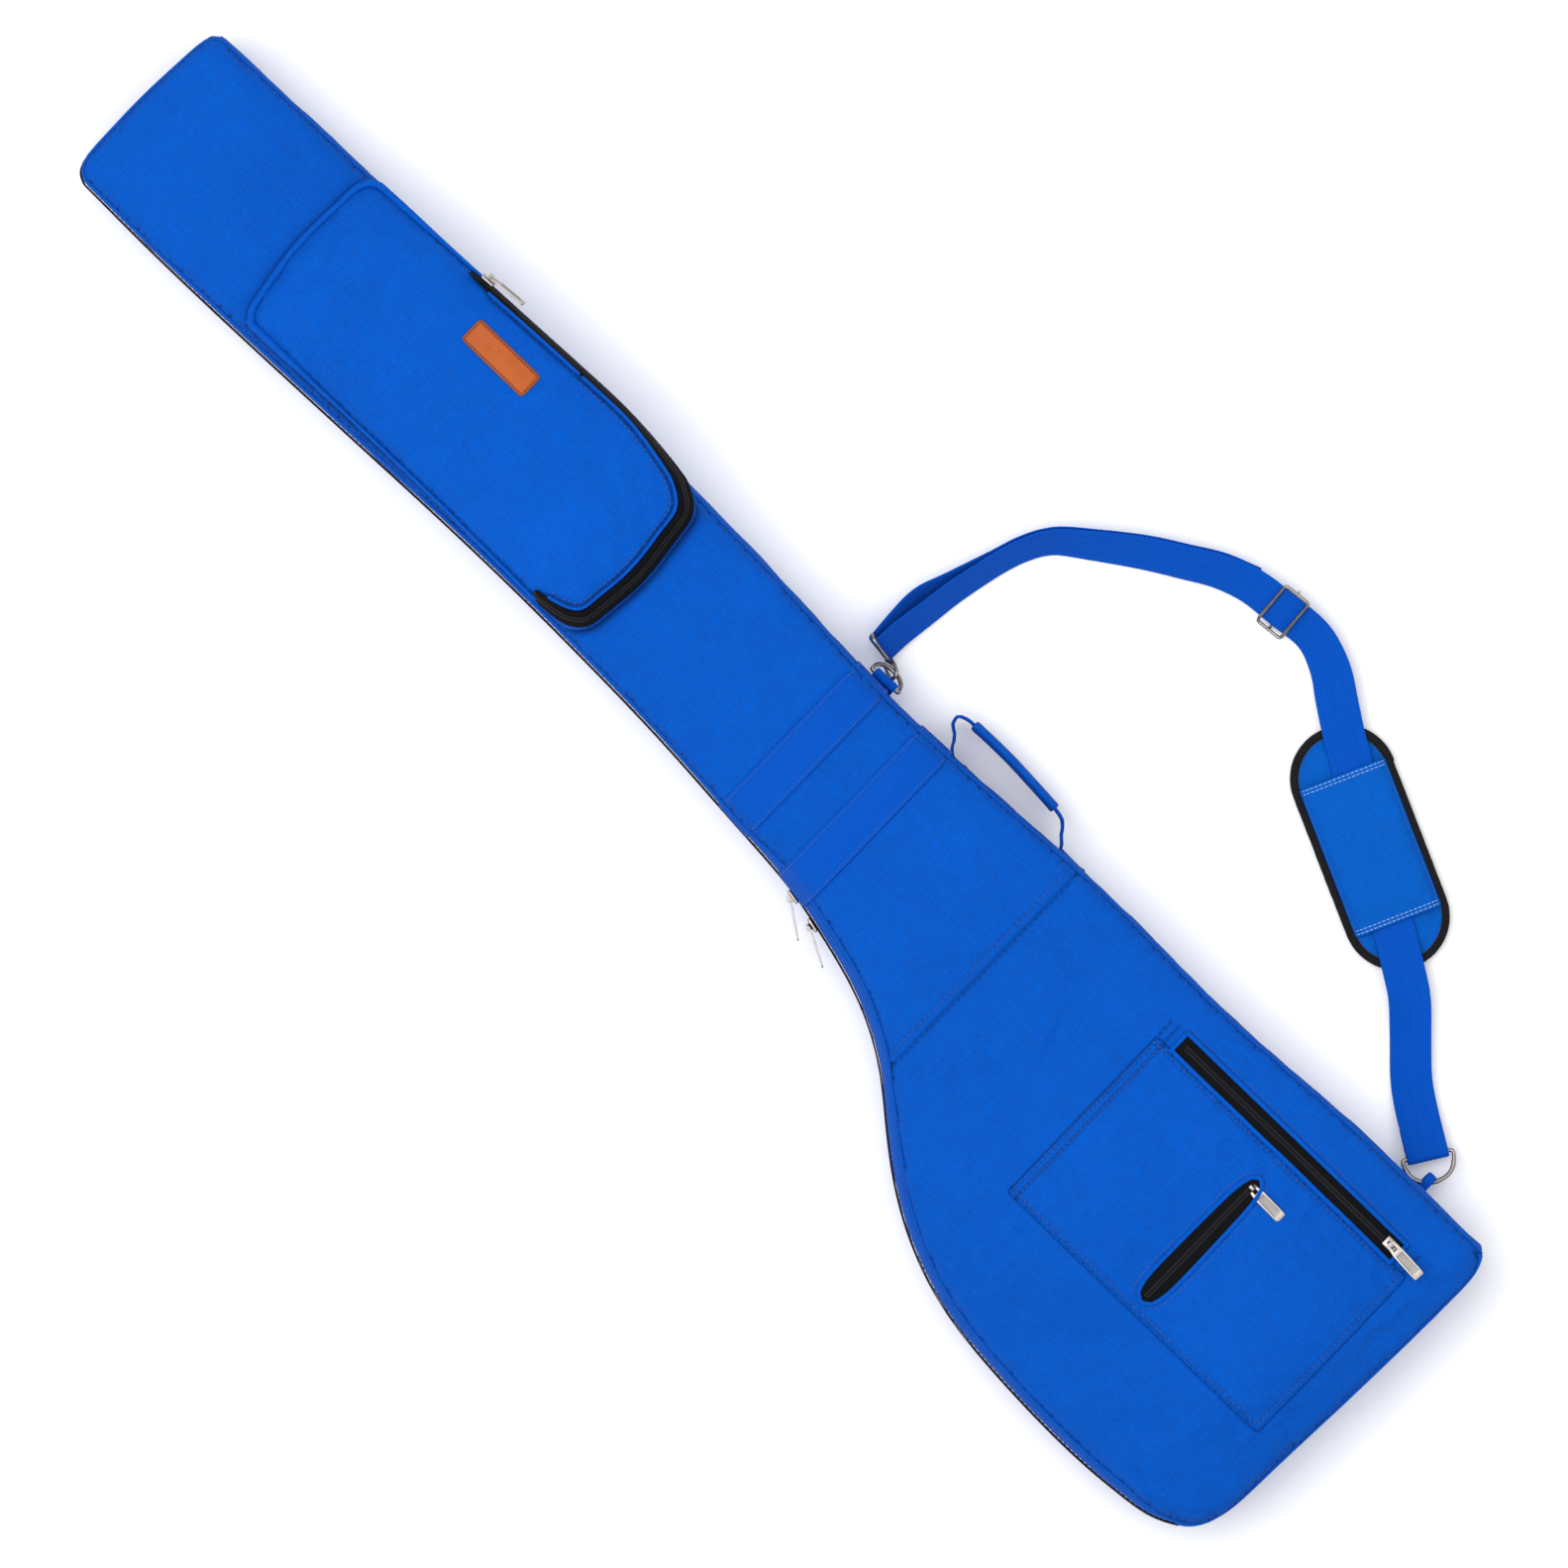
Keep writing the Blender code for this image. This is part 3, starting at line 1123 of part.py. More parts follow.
# ---- moving pieces hang from empties on their axes ------------------------------------------
FRONT_HINGE = Vector((0.0770, 0, OPENING_Z))
FLAP_HINGE = Vector((*FOLD_LEFT.lerp(FOLD_RIGHT, 0.5).to_2d(), POCKET_WALL_Z + POCKET_ZIP_RISE + POCKET_CROWN))


def hang(body, pivot, nodes):
    """Parent a moving body's nodes to an empty at its pivot; their shapes stay where they are."""
    empty = bpy.data.objects.new(body, None)
    empty.empty_display_size = 0.02
    empty.location = pivot
    bpy.context.scene.collection.objects.link(empty)
    for name in nodes:
        piece = bpy.data.objects[name]
        piece.data.transform(Matrix.Translation(-pivot))
        piece.parent = empty
    return empty


FRONT_NODES = ["front_panel_neck", "front_panel_body", "front_foam", "front_lining", "upper_gusset_foam",
               "upper_gusset_lining", "upper_gusset_hinge_side", "upper_gusset_base",
               "upper_gusset_zip_side", "main_zip_upper", "band_1", "band_2", "pocket_gusset",
               "pocket_wall_upper", "pocket_zip_lower", "pocket_zip_fixed", "pocket_lid", "leather_patch",
               "lower_pocket_panel", "long_zip", "short_zip"]


def hang_moving_pieces(slider_frames):
    hang("front_shell_axis", FRONT_HINGE, FRONT_NODES)
    hang("pocket_flap_axis", FLAP_HINGE, ["pocket_flap", "pocket_zip_flap"])
    for name, (origin, normal) in slider_frames.items():
        hang(name + "_slider_axis", origin, [name + "_slider"])
        hang(name + "_pull_axis", origin + normal * PIVOT_RISE, [name + "_pull"])
    hang("handle_axis", HANDLE_AXIS[0], ["handle_web", "handle_grip"])
    hang("strap_axis", LOWER_RING, ["strap_web", "d_ring_lower", "d_ring_upper", "hook_eye"])
    hang("snap_hook_axis", HOOK_FROM, ["snap_hook"])
    hang("hook_gate_axis", gate_ends()[1], ["hook_gate"])
    hang("tri_glide_axis", route_frames()[BUCKLE_INDEX][0], ["tri_glide"])
    hang("pad_axis", Vector((*PAD_CENTRE, 0)), ["pad_base", "pad_binding", "pad_sleeve"])


def main():
    clear_scene()
    make_materials()
    make_back_shell()
    make_front_shell()
    make_bands()
    make_pocket()
    make_patch()
    make_flat_pocket()
    slider_frames = make_sliders()
    make_handle()
    make_rings()
    make_hook()
    make_strap()
    make_buckle()
    make_pad()
    hang_moving_pieces(slider_frames)


main()
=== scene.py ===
"""The looks of the padded bag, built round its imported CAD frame. Metres, +Z up, the bag on its back."""
import json
import math

import bmesh
import bpy
from mathutils import Matrix, Vector, noise
from mathutils.bvhtree import BVHTree
from mathutils.geometry import delaunay_2d_cdt
from mathutils.kdtree import KDTree

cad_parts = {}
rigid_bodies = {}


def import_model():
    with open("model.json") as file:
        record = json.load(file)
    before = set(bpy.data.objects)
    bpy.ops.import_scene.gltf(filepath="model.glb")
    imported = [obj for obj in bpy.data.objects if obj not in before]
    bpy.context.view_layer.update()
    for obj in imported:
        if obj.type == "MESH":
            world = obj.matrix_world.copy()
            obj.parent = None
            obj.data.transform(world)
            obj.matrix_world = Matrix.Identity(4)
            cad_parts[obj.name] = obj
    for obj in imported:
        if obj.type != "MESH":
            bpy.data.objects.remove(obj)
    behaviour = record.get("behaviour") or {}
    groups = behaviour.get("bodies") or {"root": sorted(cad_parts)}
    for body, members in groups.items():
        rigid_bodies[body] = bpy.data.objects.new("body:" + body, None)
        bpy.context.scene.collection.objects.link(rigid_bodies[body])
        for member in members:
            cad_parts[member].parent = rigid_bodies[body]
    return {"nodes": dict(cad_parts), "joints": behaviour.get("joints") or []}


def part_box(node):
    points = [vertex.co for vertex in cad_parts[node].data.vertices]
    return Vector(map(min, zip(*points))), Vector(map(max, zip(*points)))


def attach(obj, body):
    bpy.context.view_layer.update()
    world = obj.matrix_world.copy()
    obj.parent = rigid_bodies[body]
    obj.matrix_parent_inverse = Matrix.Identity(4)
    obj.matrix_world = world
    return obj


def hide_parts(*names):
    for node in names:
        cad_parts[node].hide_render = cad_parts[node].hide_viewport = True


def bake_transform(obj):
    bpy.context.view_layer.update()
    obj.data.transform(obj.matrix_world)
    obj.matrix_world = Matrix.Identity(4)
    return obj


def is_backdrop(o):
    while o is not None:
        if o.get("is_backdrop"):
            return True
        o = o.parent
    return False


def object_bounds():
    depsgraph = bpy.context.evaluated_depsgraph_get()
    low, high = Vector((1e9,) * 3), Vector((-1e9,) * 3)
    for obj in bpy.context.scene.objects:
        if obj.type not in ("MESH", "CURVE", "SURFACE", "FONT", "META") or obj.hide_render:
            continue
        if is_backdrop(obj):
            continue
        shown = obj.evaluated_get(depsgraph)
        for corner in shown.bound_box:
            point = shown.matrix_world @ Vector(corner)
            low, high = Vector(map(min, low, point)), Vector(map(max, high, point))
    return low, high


for item in list(bpy.data.objects):
    bpy.data.objects.remove(item, do_unlink=True)
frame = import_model()
CAD_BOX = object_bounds()
POCKET_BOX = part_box("lower_pocket_panel")
LONG_ZIP_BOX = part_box("long_zip")
NODES = frame["nodes"]
JOINTS = {joint["name"]: joint for joint in frame["joints"]}

# ---- driving values -------------------------------------------------------------------------
OPENING_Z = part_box("main_zip_lower")[1].z          # line where the two shells meet
PANEL_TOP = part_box("upper_gusset_zip_side")[1].z   # top of the side wall
NECK_SEAM_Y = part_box("front_panel_neck")[0].y      # seam between neck and body
THREAD = 0.00032                                   # radius of the sewing thread
STITCH = 0.0042                                    # length from one stitch to the next
TAPE_THICK = 0.0006
COIL_PITCH = 0.0014                                # length from one turn of a zip's coil to the next
COIL_RADIUS = 0.00056                              # half the thickness of a turn
BLUE = (0.0004, 0.072, 0.410)
WEBBING_BLUE = (0.0004, 0.070, 0.430)
THREAD_BLUE = (0.004, 0.060, 0.330)
UP = Vector((0, 0, 1))
SIM_FRAMES = 20                                    # length of each cloth simulation
CENTRE_LINE = [(0.62, 0.0), (-0.10, -0.008), (-0.30, -0.065), (-0.62, -0.075)]   # (y, x) inside the bag


# ---- node materials -------------------------------------------------------------------------
class Shader:
    """A Principled material and short calls for the nodes that feed it."""

    def __init__(self, name, colour, roughness, metallic=0.0, **fixed):
        self.material = bpy.data.materials.new(name)
        self.material.use_nodes = True
        self.tree = self.material.node_tree
        self.shader = self.tree.nodes["Principled BSDF"]
        self.set(self.shader, {"Base Color": (*colour, 1.0), "Roughness": roughness, "Metallic": metallic})
        self.set(self.shader, fixed)
        self.place = self.add("ShaderNodeTexCoord").outputs

    def set(self, node, values):
        for key, value in values.items():
            node.inputs[key].default_value = value

    def add(self, kind, **properties):
        node = self.tree.nodes.new(kind)
        for key, value in properties.items():
            setattr(node, key, value)
        return node

    def link(self, source, target):
        self.tree.links.new(source, target)

    def maths(self, operation, *values):
        node = self.add("ShaderNodeMath", operation=operation)
        for socket, value in zip(node.inputs, values):
            if isinstance(value, (int, float)):
                socket.default_value = value
            else:
                self.link(value, socket)
        return node.outputs[0]

    def times(self, a, b):
        return self.maths("MULTIPLY", a, b)

    def plus(self, first, *others):
        for value in others:
            first = self.maths("ADD", first, value)
        return first

    def grain(self, scale, detail, stretch=(1, 1, 1)):
        """Noise from 0 to 1 in object space; scale is in waves per metre."""
        mapping = self.add("ShaderNodeMapping")
        mapping.inputs["Scale"].default_value = stretch
        self.link(self.place["Object"], mapping.inputs["Vector"])
        made = self.add("ShaderNodeTexNoise")
        self.set(made, {"Scale": scale, "Detail": detail, "Roughness": 0.5})
        self.link(mapping.outputs[0], made.inputs["Vector"])
        return made.outputs[0]

    def span(self, value, low, high, to_low, to_high):
        made = self.add("ShaderNodeMapRange")
        self.link(value, made.inputs["Value"])
        self.set(made, {"From Min": low, "From Max": high, "To Min": to_low, "To Max": to_high})
        return made.outputs[0]

    def spread(self, noise, low, high):
        """Noise, which seldom leaves 0.3 to 0.7, spread from low to high."""
        return self.span(noise, 0.3, 0.7, low, high)

    def rough(self, value):
        self.link(value, self.shader.inputs["Roughness"])

    def tint(self, colour, factor):
        """Base colour times a factor that varies over the surface, darkened by painted shade in seams,
        grooves and recesses that a point attribute stores.
        """
        # painted shade: the colour gets up to 72 % darker where the point attribute is 1
        painted_shade = self.add("ShaderNodeAttribute", attribute_name="painted_shade")
        shade = self.maths("SUBTRACT", 1.0, self.times(painted_shade.outputs["Fac"], 0.72))
        factor = self.times(factor, shade)
        made = self.add("ShaderNodeMix", data_type="RGBA", blend_type="MULTIPLY")
        made.inputs[0].default_value = 1.0
        made.inputs[6].default_value = (*colour, 1.0)
        grey = self.add("ShaderNodeCombineColor")
        for socket in grey.inputs[:3]:
            self.link(factor, socket)
        self.link(grey.outputs[0], made.inputs[7])
        self.link(made.outputs[2], self.shader.inputs["Base Color"])

    def bump(self, height, strength, distance):
        made = self.add("ShaderNodeBump")
        self.set(made, {"Strength": strength, "Distance": distance})
        self.link(height, made.inputs["Height"])
        self.link(made.outputs[0], self.shader.inputs["Normal"])

    def weave(self, pitch):
        """Plain weave seen from all sides: yarns that cross, chosen by where the surface faces."""
        position = self.add("ShaderNodeSeparateXYZ")
        self.link(self.place["Object"], position.inputs[0])
        facing = self.add("ShaderNodeSeparateXYZ")
        self.link(self.place["Normal"], facing.inputs[0])
        waves = [self.maths("SINE", self.times(out, 2 * math.pi / pitch)) for out in position.outputs]
        shares = [self.maths("POWER", self.maths("ABSOLUTE", out), 3.0) for out in facing.outputs]
        crossings = [self.times(share, self.times(waves[a], waves[b]))
                     for share, a, b in zip(shares, (1, 0, 0), (2, 2, 1))]
        return self.maths("DIVIDE", self.plus(*crossings), self.plus(*shares))


def fabric(name, colour, pitch=0.0015):
    """Woven bag cloth: crossing yarns, uneven yarn thickness and a slight change of tone."""
    made = Shader(name, colour, 0.80, **{"Sheen Weight": 0.008, "Sheen Roughness": 0.4,
                                         "Specular IOR Level": 0.06})
    weave = made.weave(pitch)
    speckle = made.grain(620.0, 3.0)
    warp = made.grain(560.0, 3.0, (1.0, 0.10, 0.35))
    weft = made.grain(560.0, 3.0, (0.10, 1.0, 0.35))
    cloud = made.grain(60.0, 3.0)
    broad = made.grain(8.0, 2.0)
    yarns = made.plus(warp, weft)
    made.tint(colour, made.plus(
        made.spread(speckle, -0.08, 0.08), made.span(yarns, 0.75, 1.25, -0.085, 0.085),
        made.spread(cloud, -0.02, 0.02), made.spread(broad, -0.05, 0.05), made.times(weave, 0.10), 1.0))
    made.rough(made.span(yarns, 0.7, 1.3, 0.66, 0.90))
    made.bump(made.plus(made.times(weave, 0.5), made.times(yarns, 1.2)), 0.7, 0.00030)
    return made.material


def ribbed_cloth(name, colour):
    """Webbing: fine cross yarns on top of the ribs that the mesh has, read from its own lengthwise map."""
    made = Shader(name, colour, 0.75, **{"Sheen Weight": 0.008, "Specular IOR Level": 0.06})
    uv = made.add("ShaderNodeUVMap", uv_map="length")
    parts = made.add("ShaderNodeSeparateXYZ")
    made.link(uv.outputs[0], parts.inputs[0])
    across = made.maths("SINE", made.times(parts.outputs[0], 2 * math.pi / 0.0024))
    along = made.maths("SINE", made.times(parts.outputs[1], 2 * math.pi / 0.0020))
    yarn = made.plus(made.times(across, along), made.times(along, 0.4))
    speckle = made.grain(1100.0, 2.0)
    made.tint(colour, made.plus(made.times(yarn, 0.13), made.spread(speckle, 0.90, 1.10),
                                made.times(across, 0.12)))
    made.bump(made.plus(yarn, across), 0.6, 0.00030)
    return made.material


def plain_weave(name, colour, roughness, pitch, strength=0.5):
    """Tape, lining and coil: one even weave with a fine speckle."""
    made = Shader(name, colour, roughness, **{"Specular IOR Level": 0.07})
    weave = made.weave(pitch)
    speckle = made.grain(700.0, 2.0)
    made.tint(colour, made.plus(made.times(weave, 0.20), made.spread(speckle, 0.82, 1.18)))
    made.bump(made.plus(weave, speckle), strength, 0.0002)
    return made.material


def metal(name, colour, roughness):
    """Plated metal with faint brushing and a few dull patches."""
    made = Shader(name, colour, roughness, 1.0)
    brushed = made.grain(700.0, 2.0, (1.0, 0.08, 1.0))
    patches = made.grain(160.0, 3.0)
    made.rough(made.span(made.plus(brushed, patches), 0.7, 1.3, roughness - 0.07, roughness + 0.14))
    made.tint(colour, made.spread(patches, 0.93, 1.04))
    made.bump(brushed, 0.12, 0.0001)
    return made.material


def hide(name, colour):
    """Smooth leather: fine pebbling and a cloudy change of tone."""
    made = Shader(name, colour, 0.5, **{"Specular IOR Level": 0.16})
    pebbles = made.add("ShaderNodeTexVoronoi", feature="SMOOTH_F1")
    made.set(pebbles, {"Scale": 900.0, "Smoothness": 0.6})
    made.link(made.place["Object"], pebbles.inputs["Vector"])
    cloud = made.grain(55.0, 4.0)
    made.tint(colour, made.plus(made.spread(cloud, 0.86, 1.10),
                                made.span(pebbles.outputs["Distance"], 0.0, 0.8, 0.04, -0.10)))
    made.rough(made.spread(cloud, 0.42, 0.62))
    made.bump(made.plus(pebbles.outputs["Distance"], cloud), 0.45, 0.00025)
    return made.material


def cells(name, colour):
    """Cut foam: small open cells."""
    made = Shader(name, colour, 0.95)
    holes = made.add("ShaderNodeTexVoronoi")
    made.set(holes, {"Scale": 800.0})
    made.link(made.place["Object"], holes.inputs["Vector"])
    made.tint(colour, made.span(holes.outputs["Distance"], 0.0, 0.6, 0.80, 1.05))
    made.bump(holes.outputs["Distance"], 0.6, 0.0004)
    return made.material


def twisted(name, colour):
    """Sewing thread: a light twist along each stitch."""
    made = Shader(name, colour, 0.6, **{"Sheen Weight": 0.2})
    strands = made.grain(3500.0, 1.0)
    made.tint(colour, made.spread(strands, 0.75, 1.25))
    made.bump(strands, 0.4, 0.0001)
    return made.material


CLOTH = fabric("bag_cloth", BLUE)
POCKET_CLOTH = fabric("pocket_cloth", (0.0004, 0.073, 0.418))
WEBBING = ribbed_cloth("blue_webbing", WEBBING_BLUE)
PAD_CLOTH = fabric("pad_cloth", (0.0006, 0.088, 0.430), 0.0011)
TAPE = plain_weave("zip_tape", (0.0040, 0.0042, 0.0052), 0.80, 0.0009)
COIL = plain_weave("zip_coil", (0.022, 0.022, 0.025), 0.30, 0.0008, 0.10)
BINDING = plain_weave("edge_binding", (0.0100, 0.0100, 0.0115), 0.85, 0.0012)
LINING = plain_weave("lining_cloth", (0.016, 0.016, 0.019), 0.80, 0.0010, 0.35)
FOAM = cells("cut_foam", (0.62, 0.62, 0.60))
NICKEL = metal("nickel", (0.27, 0.250, 0.235), 0.26)
LEATHER = hide("patch_leather", (0.42, 0.090, 0.016))
THREAD_DARK = twisted("blue_thread", THREAD_BLUE)
THREAD_LIGHT = twisted("light_thread", (0.30, 0.45, 0.72))
BINDING_THREAD = twisted("dark_thread", (0.030, 0.030, 0.034))
WEBBING_PLAIN = plain_weave("tab_webbing", WEBBING_BLUE, 0.7, 0.0012)
THREAD_BROWN = twisted("brown_thread", (0.070, 0.018, 0.008))
SLOT_OF = {material.name: slot for slot, group in (
    ("blue_fabric", (CLOTH, POCKET_CLOTH, PAD_CLOTH, THREAD_DARK, THREAD_LIGHT)),
    ("blue_webbing", (WEBBING, WEBBING_PLAIN)), ("black_zip", (TAPE, COIL)),
    ("black_binding", (BINDING, BINDING_THREAD)), ("nickel", (NICKEL,)),
    ("leather", (LEATHER, THREAD_BROWN))) for material in group}


# ---- mesh tools -----------------------------------------------------------------------------
def paint(obj, material):
    obj.data.materials.clear()
    obj.data.materials.append(material)


def dress(obj, material, body, *nodes, slot=None, fill=None):
    """Give a piece its material and body, and hide the CAD nodes it replaces; slot and fill are not used.

    body is a name, or a tuple of two names and two places whose contents are not used; such a piece keeps its
    place and gets no body.
    """
    paint(obj, material)
    if isinstance(body, tuple):
        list(body)
        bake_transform(obj)
    else:
        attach(obj, body)
    slot or SLOT_OF[material.name]
    if nodes:
        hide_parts(*nodes)
    return obj


def new_piece(name, bm, smooth=True):
    """A new object from an edited mesh, which is used up."""
    bmesh.ops.recalc_face_normals(bm, faces=bm.faces[:])
    mesh = bpy.data.meshes.new(name)
    bm.to_mesh(mesh)
    bm.free()
    if smooth:
        mesh.shade_smooth()
    made = bpy.data.objects.new(name, mesh)
    bpy.context.scene.collection.objects.link(made)
    return made


def from_data(name, vertices, faces, smooth=True):
    mesh = bpy.data.meshes.new(name)
    mesh.from_pydata([tuple(v) for v in vertices], [], faces)
    bm = bmesh.new()
    bm.from_mesh(mesh)
    return new_piece(name, bm, smooth)


def applied(obj, kind, **settings):
    """Add one modifier and bake it into the mesh."""
    modifier = obj.modifiers.new(kind.lower(), kind)
    for key, value in settings.items():
        setattr(modifier, key, value)
    graph = bpy.context.evaluated_depsgraph_get()
    graph.update()
    mesh = bpy.data.meshes.new_from_object(obj.evaluated_get(graph))
    obj.modifiers.clear()
    obj.data = mesh
    return obj


def split(obj, levels=1):
    """Subdivision surface."""
    return applied(obj, "SUBSURF", levels=levels, render_levels=levels)


def finer(obj, levels):
    """Subdivision surface that still passes through the corners of the coarse mesh."""
    mesh = obj.data
    wanted = [v.co.copy() for v in mesh.vertices]
    modifier = obj.modifiers.new("hold", "SUBSURF")
    modifier.levels = 2
    for _ in range(3):
        graph = bpy.context.evaluated_depsgraph_get()
        graph.update()
        smooth = obj.evaluated_get(graph).to_mesh()
        shifts = [goal - smooth.vertices[i].co for i, goal in enumerate(wanted)]
        obj.evaluated_get(graph).to_mesh_clear()
        for vertex, shift in zip(mesh.vertices, shifts):
            vertex.co += shift
        mesh.update()
    obj.modifiers.clear()
    return split(obj, levels)


def thick(obj, thickness, offset=-1.0):
    return applied(obj, "SOLIDIFY", thickness=thickness, offset=offset)


def welded(*names, gap=2e-5):
    """CAD nodes as one mesh, with each shared corner one vertex."""
    bm = bmesh.new()
    for name in names:
        bm.from_mesh(NODES[name].data)
    bmesh.ops.remove_doubles(bm, verts=bm.verts[:], dist=gap)
    bm.normal_update()
    return bm


def keep(bm, test):
    """Only the faces that pass the test, with flat neighbours joined."""
    bmesh.ops.delete(bm, geom=[f for f in bm.faces if not test(f)], context="FACES")
    bmesh.ops.join_triangles(bm, faces=bm.faces[:], angle_face_threshold=3.1, angle_shape_threshold=3.1)
    return bm


def centre_x(y):
    """The x of the line up the middle of the bag."""
    for (y0, x0), (y1, x1) in zip(CENTRE_LINE, CENTRE_LINE[1:]):
        if y >= y1:
            return x0 + (x1 - x0) * (y0 - y) / (y0 - y1)
    return CENTRE_LINE[-1][1]


def chains(edges):
    """Edges sorted into runs of points, longest first."""
    near = {}
    for edge in edges:
        for a, b in (edge.verts, reversed(edge.verts)):
            near.setdefault(a, []).append(b)
    left = set(near)
    runs = []
    while left:
        ends = [v for v in left if len(near[v]) == 1]
        at = min(ends or left, key=lambda v: (v.co.y, v.co.x, v.co.z))
        run = [at]
        left.discard(at)
        while True:
            ahead = [v for v in near[run[-1]] if v in left]
            if not ahead:
                break
            run.append(ahead[0])
            left.discard(ahead[0])
        runs.append([v.co.copy() for v in run])
    return sorted(runs, key=length_of, reverse=True)


def length_of(points):
    return sum((b - a).length for a, b in zip(points, points[1:]))


def on_curve(before, a, b, after, t):
    """Catmull-Rom curve from a to b."""
    return 0.5 * ((2 * a) + (b - before) * t + (2 * before - 5 * a + 4 * b - after) * t * t
                  + (3 * a - before - 3 * b + after) * t ** 3)


def even(points, step, closed=False):
    """A smooth curve through the points, resampled at an even step."""
    n = len(points)
    dense = []
    for i in range(n if closed else n - 1):
        a, b = points[i], points[(i + 1) % n]
        before = points[i - 1] if (closed or i) else a * 2 - b
        after = points[(i + 2) % n] if (closed or i + 2 < n) else b * 2 - a
        reach = (b - a).length
        before = a + (before - a) * min(1.0, reach / max((before - a).length, 1e-9))
        after = b + (after - b) * min(1.0, reach / max((after - b).length, 1e-9))
        count = max(2, int(reach / step * 2))
        dense += [on_curve(before, a, b, after, k / count) for k in range(count)]
    dense.append(points[0].copy() if closed else points[-1].copy())
    total = length_of(dense)
    count = max(2, round(total / step))
    result, i, done = [], 0, 0.0
    for k in range(count + (0 if closed else 1)):
        target = total * k / count
        while i < len(dense) - 2 and done + (dense[i + 1] - dense[i]).length < target:
            done += (dense[i + 1] - dense[i]).length
            i += 1
        span = (dense[i + 1] - dense[i]).length or 1.0
        result.append(dense[i].lerp(dense[i + 1], min((target - done) / span, 1.0)))
    return result


def tangent(points, i, closed=False):
    n = len(points)
    a = points[i - 1] if (closed or i) else points[0]
    b = points[(i + 1) % n] if (closed or i < n - 1) else points[-1]
    return (b - a).normalized()


def hoops(start, count, sides, closed=False):
    """Faces round count rings of points, capped at both ends unless the tube is closed."""
    faces = []
    for i in range(count if closed else count - 1):
        a, b = start + i * sides, start + (i + 1) % count * sides
        faces += [(a + k, a + (k + 1) % sides, b + (k + 1) % sides, b + k) for k in range(sides)]
    if not closed:
        last = start + (count - 1) * sides
        faces += [tuple(range(start, start + sides)), tuple(reversed(range(last, last + sides)))]
    return faces


def sheet_faces(long, wide):
    """Faces between long rows of wide points."""
    return [(a, a + 1, a + wide + 1, a + wide)
            for i in range(long - 1) for a in range(i * wide, i * wide + wide - 1)]


def tube(name, points, radius, sides=10, closed=False, flat=1.0):
    """A round or flattened roll along points; its ends are rounded off."""
    vertices = []
    n = len(points)
    places = [(i, 1.0, 0.0) for i in range(n)]
    if not closed:
        places = [(0, 0.05, -0.9), (0, 0.7, -0.6)] + places + [(n - 1, 0.7, 0.6), (n - 1, 0.05, 0.9)]
    for i, size, ahead in places:
        along = tangent(points, i, closed)
        side = along.cross(UP)
        side = side.normalized() if side.length > 1e-4 else along.orthogonal().normalized()
        top = side.cross(along)
        r = radius(i / max(n - 1, 1)) if callable(radius) else radius
        middle = points[i] + along * r * ahead
        for k in range(sides):
            turn = 2 * math.pi * k / sides
            vertices.append(middle + (side * math.cos(turn) + top * math.sin(turn) * flat) * r * size)
    return from_data(name, vertices, hoops(0, len(places), sides, closed))


def bead(vertices, faces, rings, side, up, radius, turned=0.0):
    """Add a small five-sided bead through rings of (centre, size)."""
    start, sides = len(vertices), 5
    for centre, size in rings:
        for m in range(sides):
            turn = 2 * math.pi * (m + turned) / sides
            vertices.append(centre + (side * math.cos(turn) + up * math.sin(turn)) * radius * size)
    faces += hoops(start, len(rings), sides)


def stitches(name, rows, material, body, step=STITCH, thread=THREAD, slot=None):
    """Sewn thread along rows of (point, normal): each stitch a short bead that dips in at its ends."""
    vertices, faces = [], []
    profile = ((-0.40, 0.15, -0.5), (-0.30, 0.85, 0.15), (0.0, 1.0, 0.45), (0.30, 0.85, 0.15),
               (0.40, 0.15, -0.5))     # share of the step, size, share of the thread's radius
    for row in rows:
        points = [p for p, _ in row]
        total = length_of(points)
        count = max(1, int(total / step))
        i, done = 0, 0.0
        for k in range(count):
            target = (k + 0.5) * total / count
            while i < len(points) - 2 and done + (points[i + 1] - points[i]).length < target:
                done += (points[i + 1] - points[i]).length
                i += 1
            along = (points[i + 1] - points[i])
            middle = points[i].lerp(points[i + 1], min((target - done) / (along.length or 1), 1.0))
            along.normalize()
            up = row[i][1]
            side = along.cross(up).normalized()
            rings = [(middle + along * reach * step + up * (rise * thread), size)
                     for reach, size, rise in profile]
            bead(vertices, faces, rings, side, up, thread)
    dress(from_data(name, vertices, faces), material, body, slot=slot)


def webbing(name, node, rows, body, thickness, ribs, depth=0.00026):
    """Flat webbing along rows of (centre, side, normal, half width), ribbed lengthwise on both faces."""
    per_rib = 4
    across = ribs * per_rib
    vertices, maps = [], []
    done = 0.0
    for i, (centre, side, normal, wide) in enumerate(rows):
        if i:
            done += (centre - rows[i - 1][0]).length
        for face in (1, -1):
            for k in range(across + 1):
                f = -1 + 2 * k / across
                f = f if face > 0 else -f
                rib = depth * (0.5 - 0.5 * math.cos(2 * math.pi * k / per_rib))
                border = min(1.0, (1 - abs(f)) * wide / 0.0009)
                height = face * (thickness / 2 * (0.35 + 0.65 * border) - rib * border)
                vertices.append(centre + side * wide * f + normal * height)
                maps.append((f * wide, done))
    made = from_data(name, vertices, hoops(0, len(rows), 2 * (across + 1)))
    layer = made.data.uv_layers.new(name="length")
    for loop in made.data.loops:
        layer.data[loop.index].uv = maps[loop.vertex_index]
    dress(made, WEBBING, body, node)


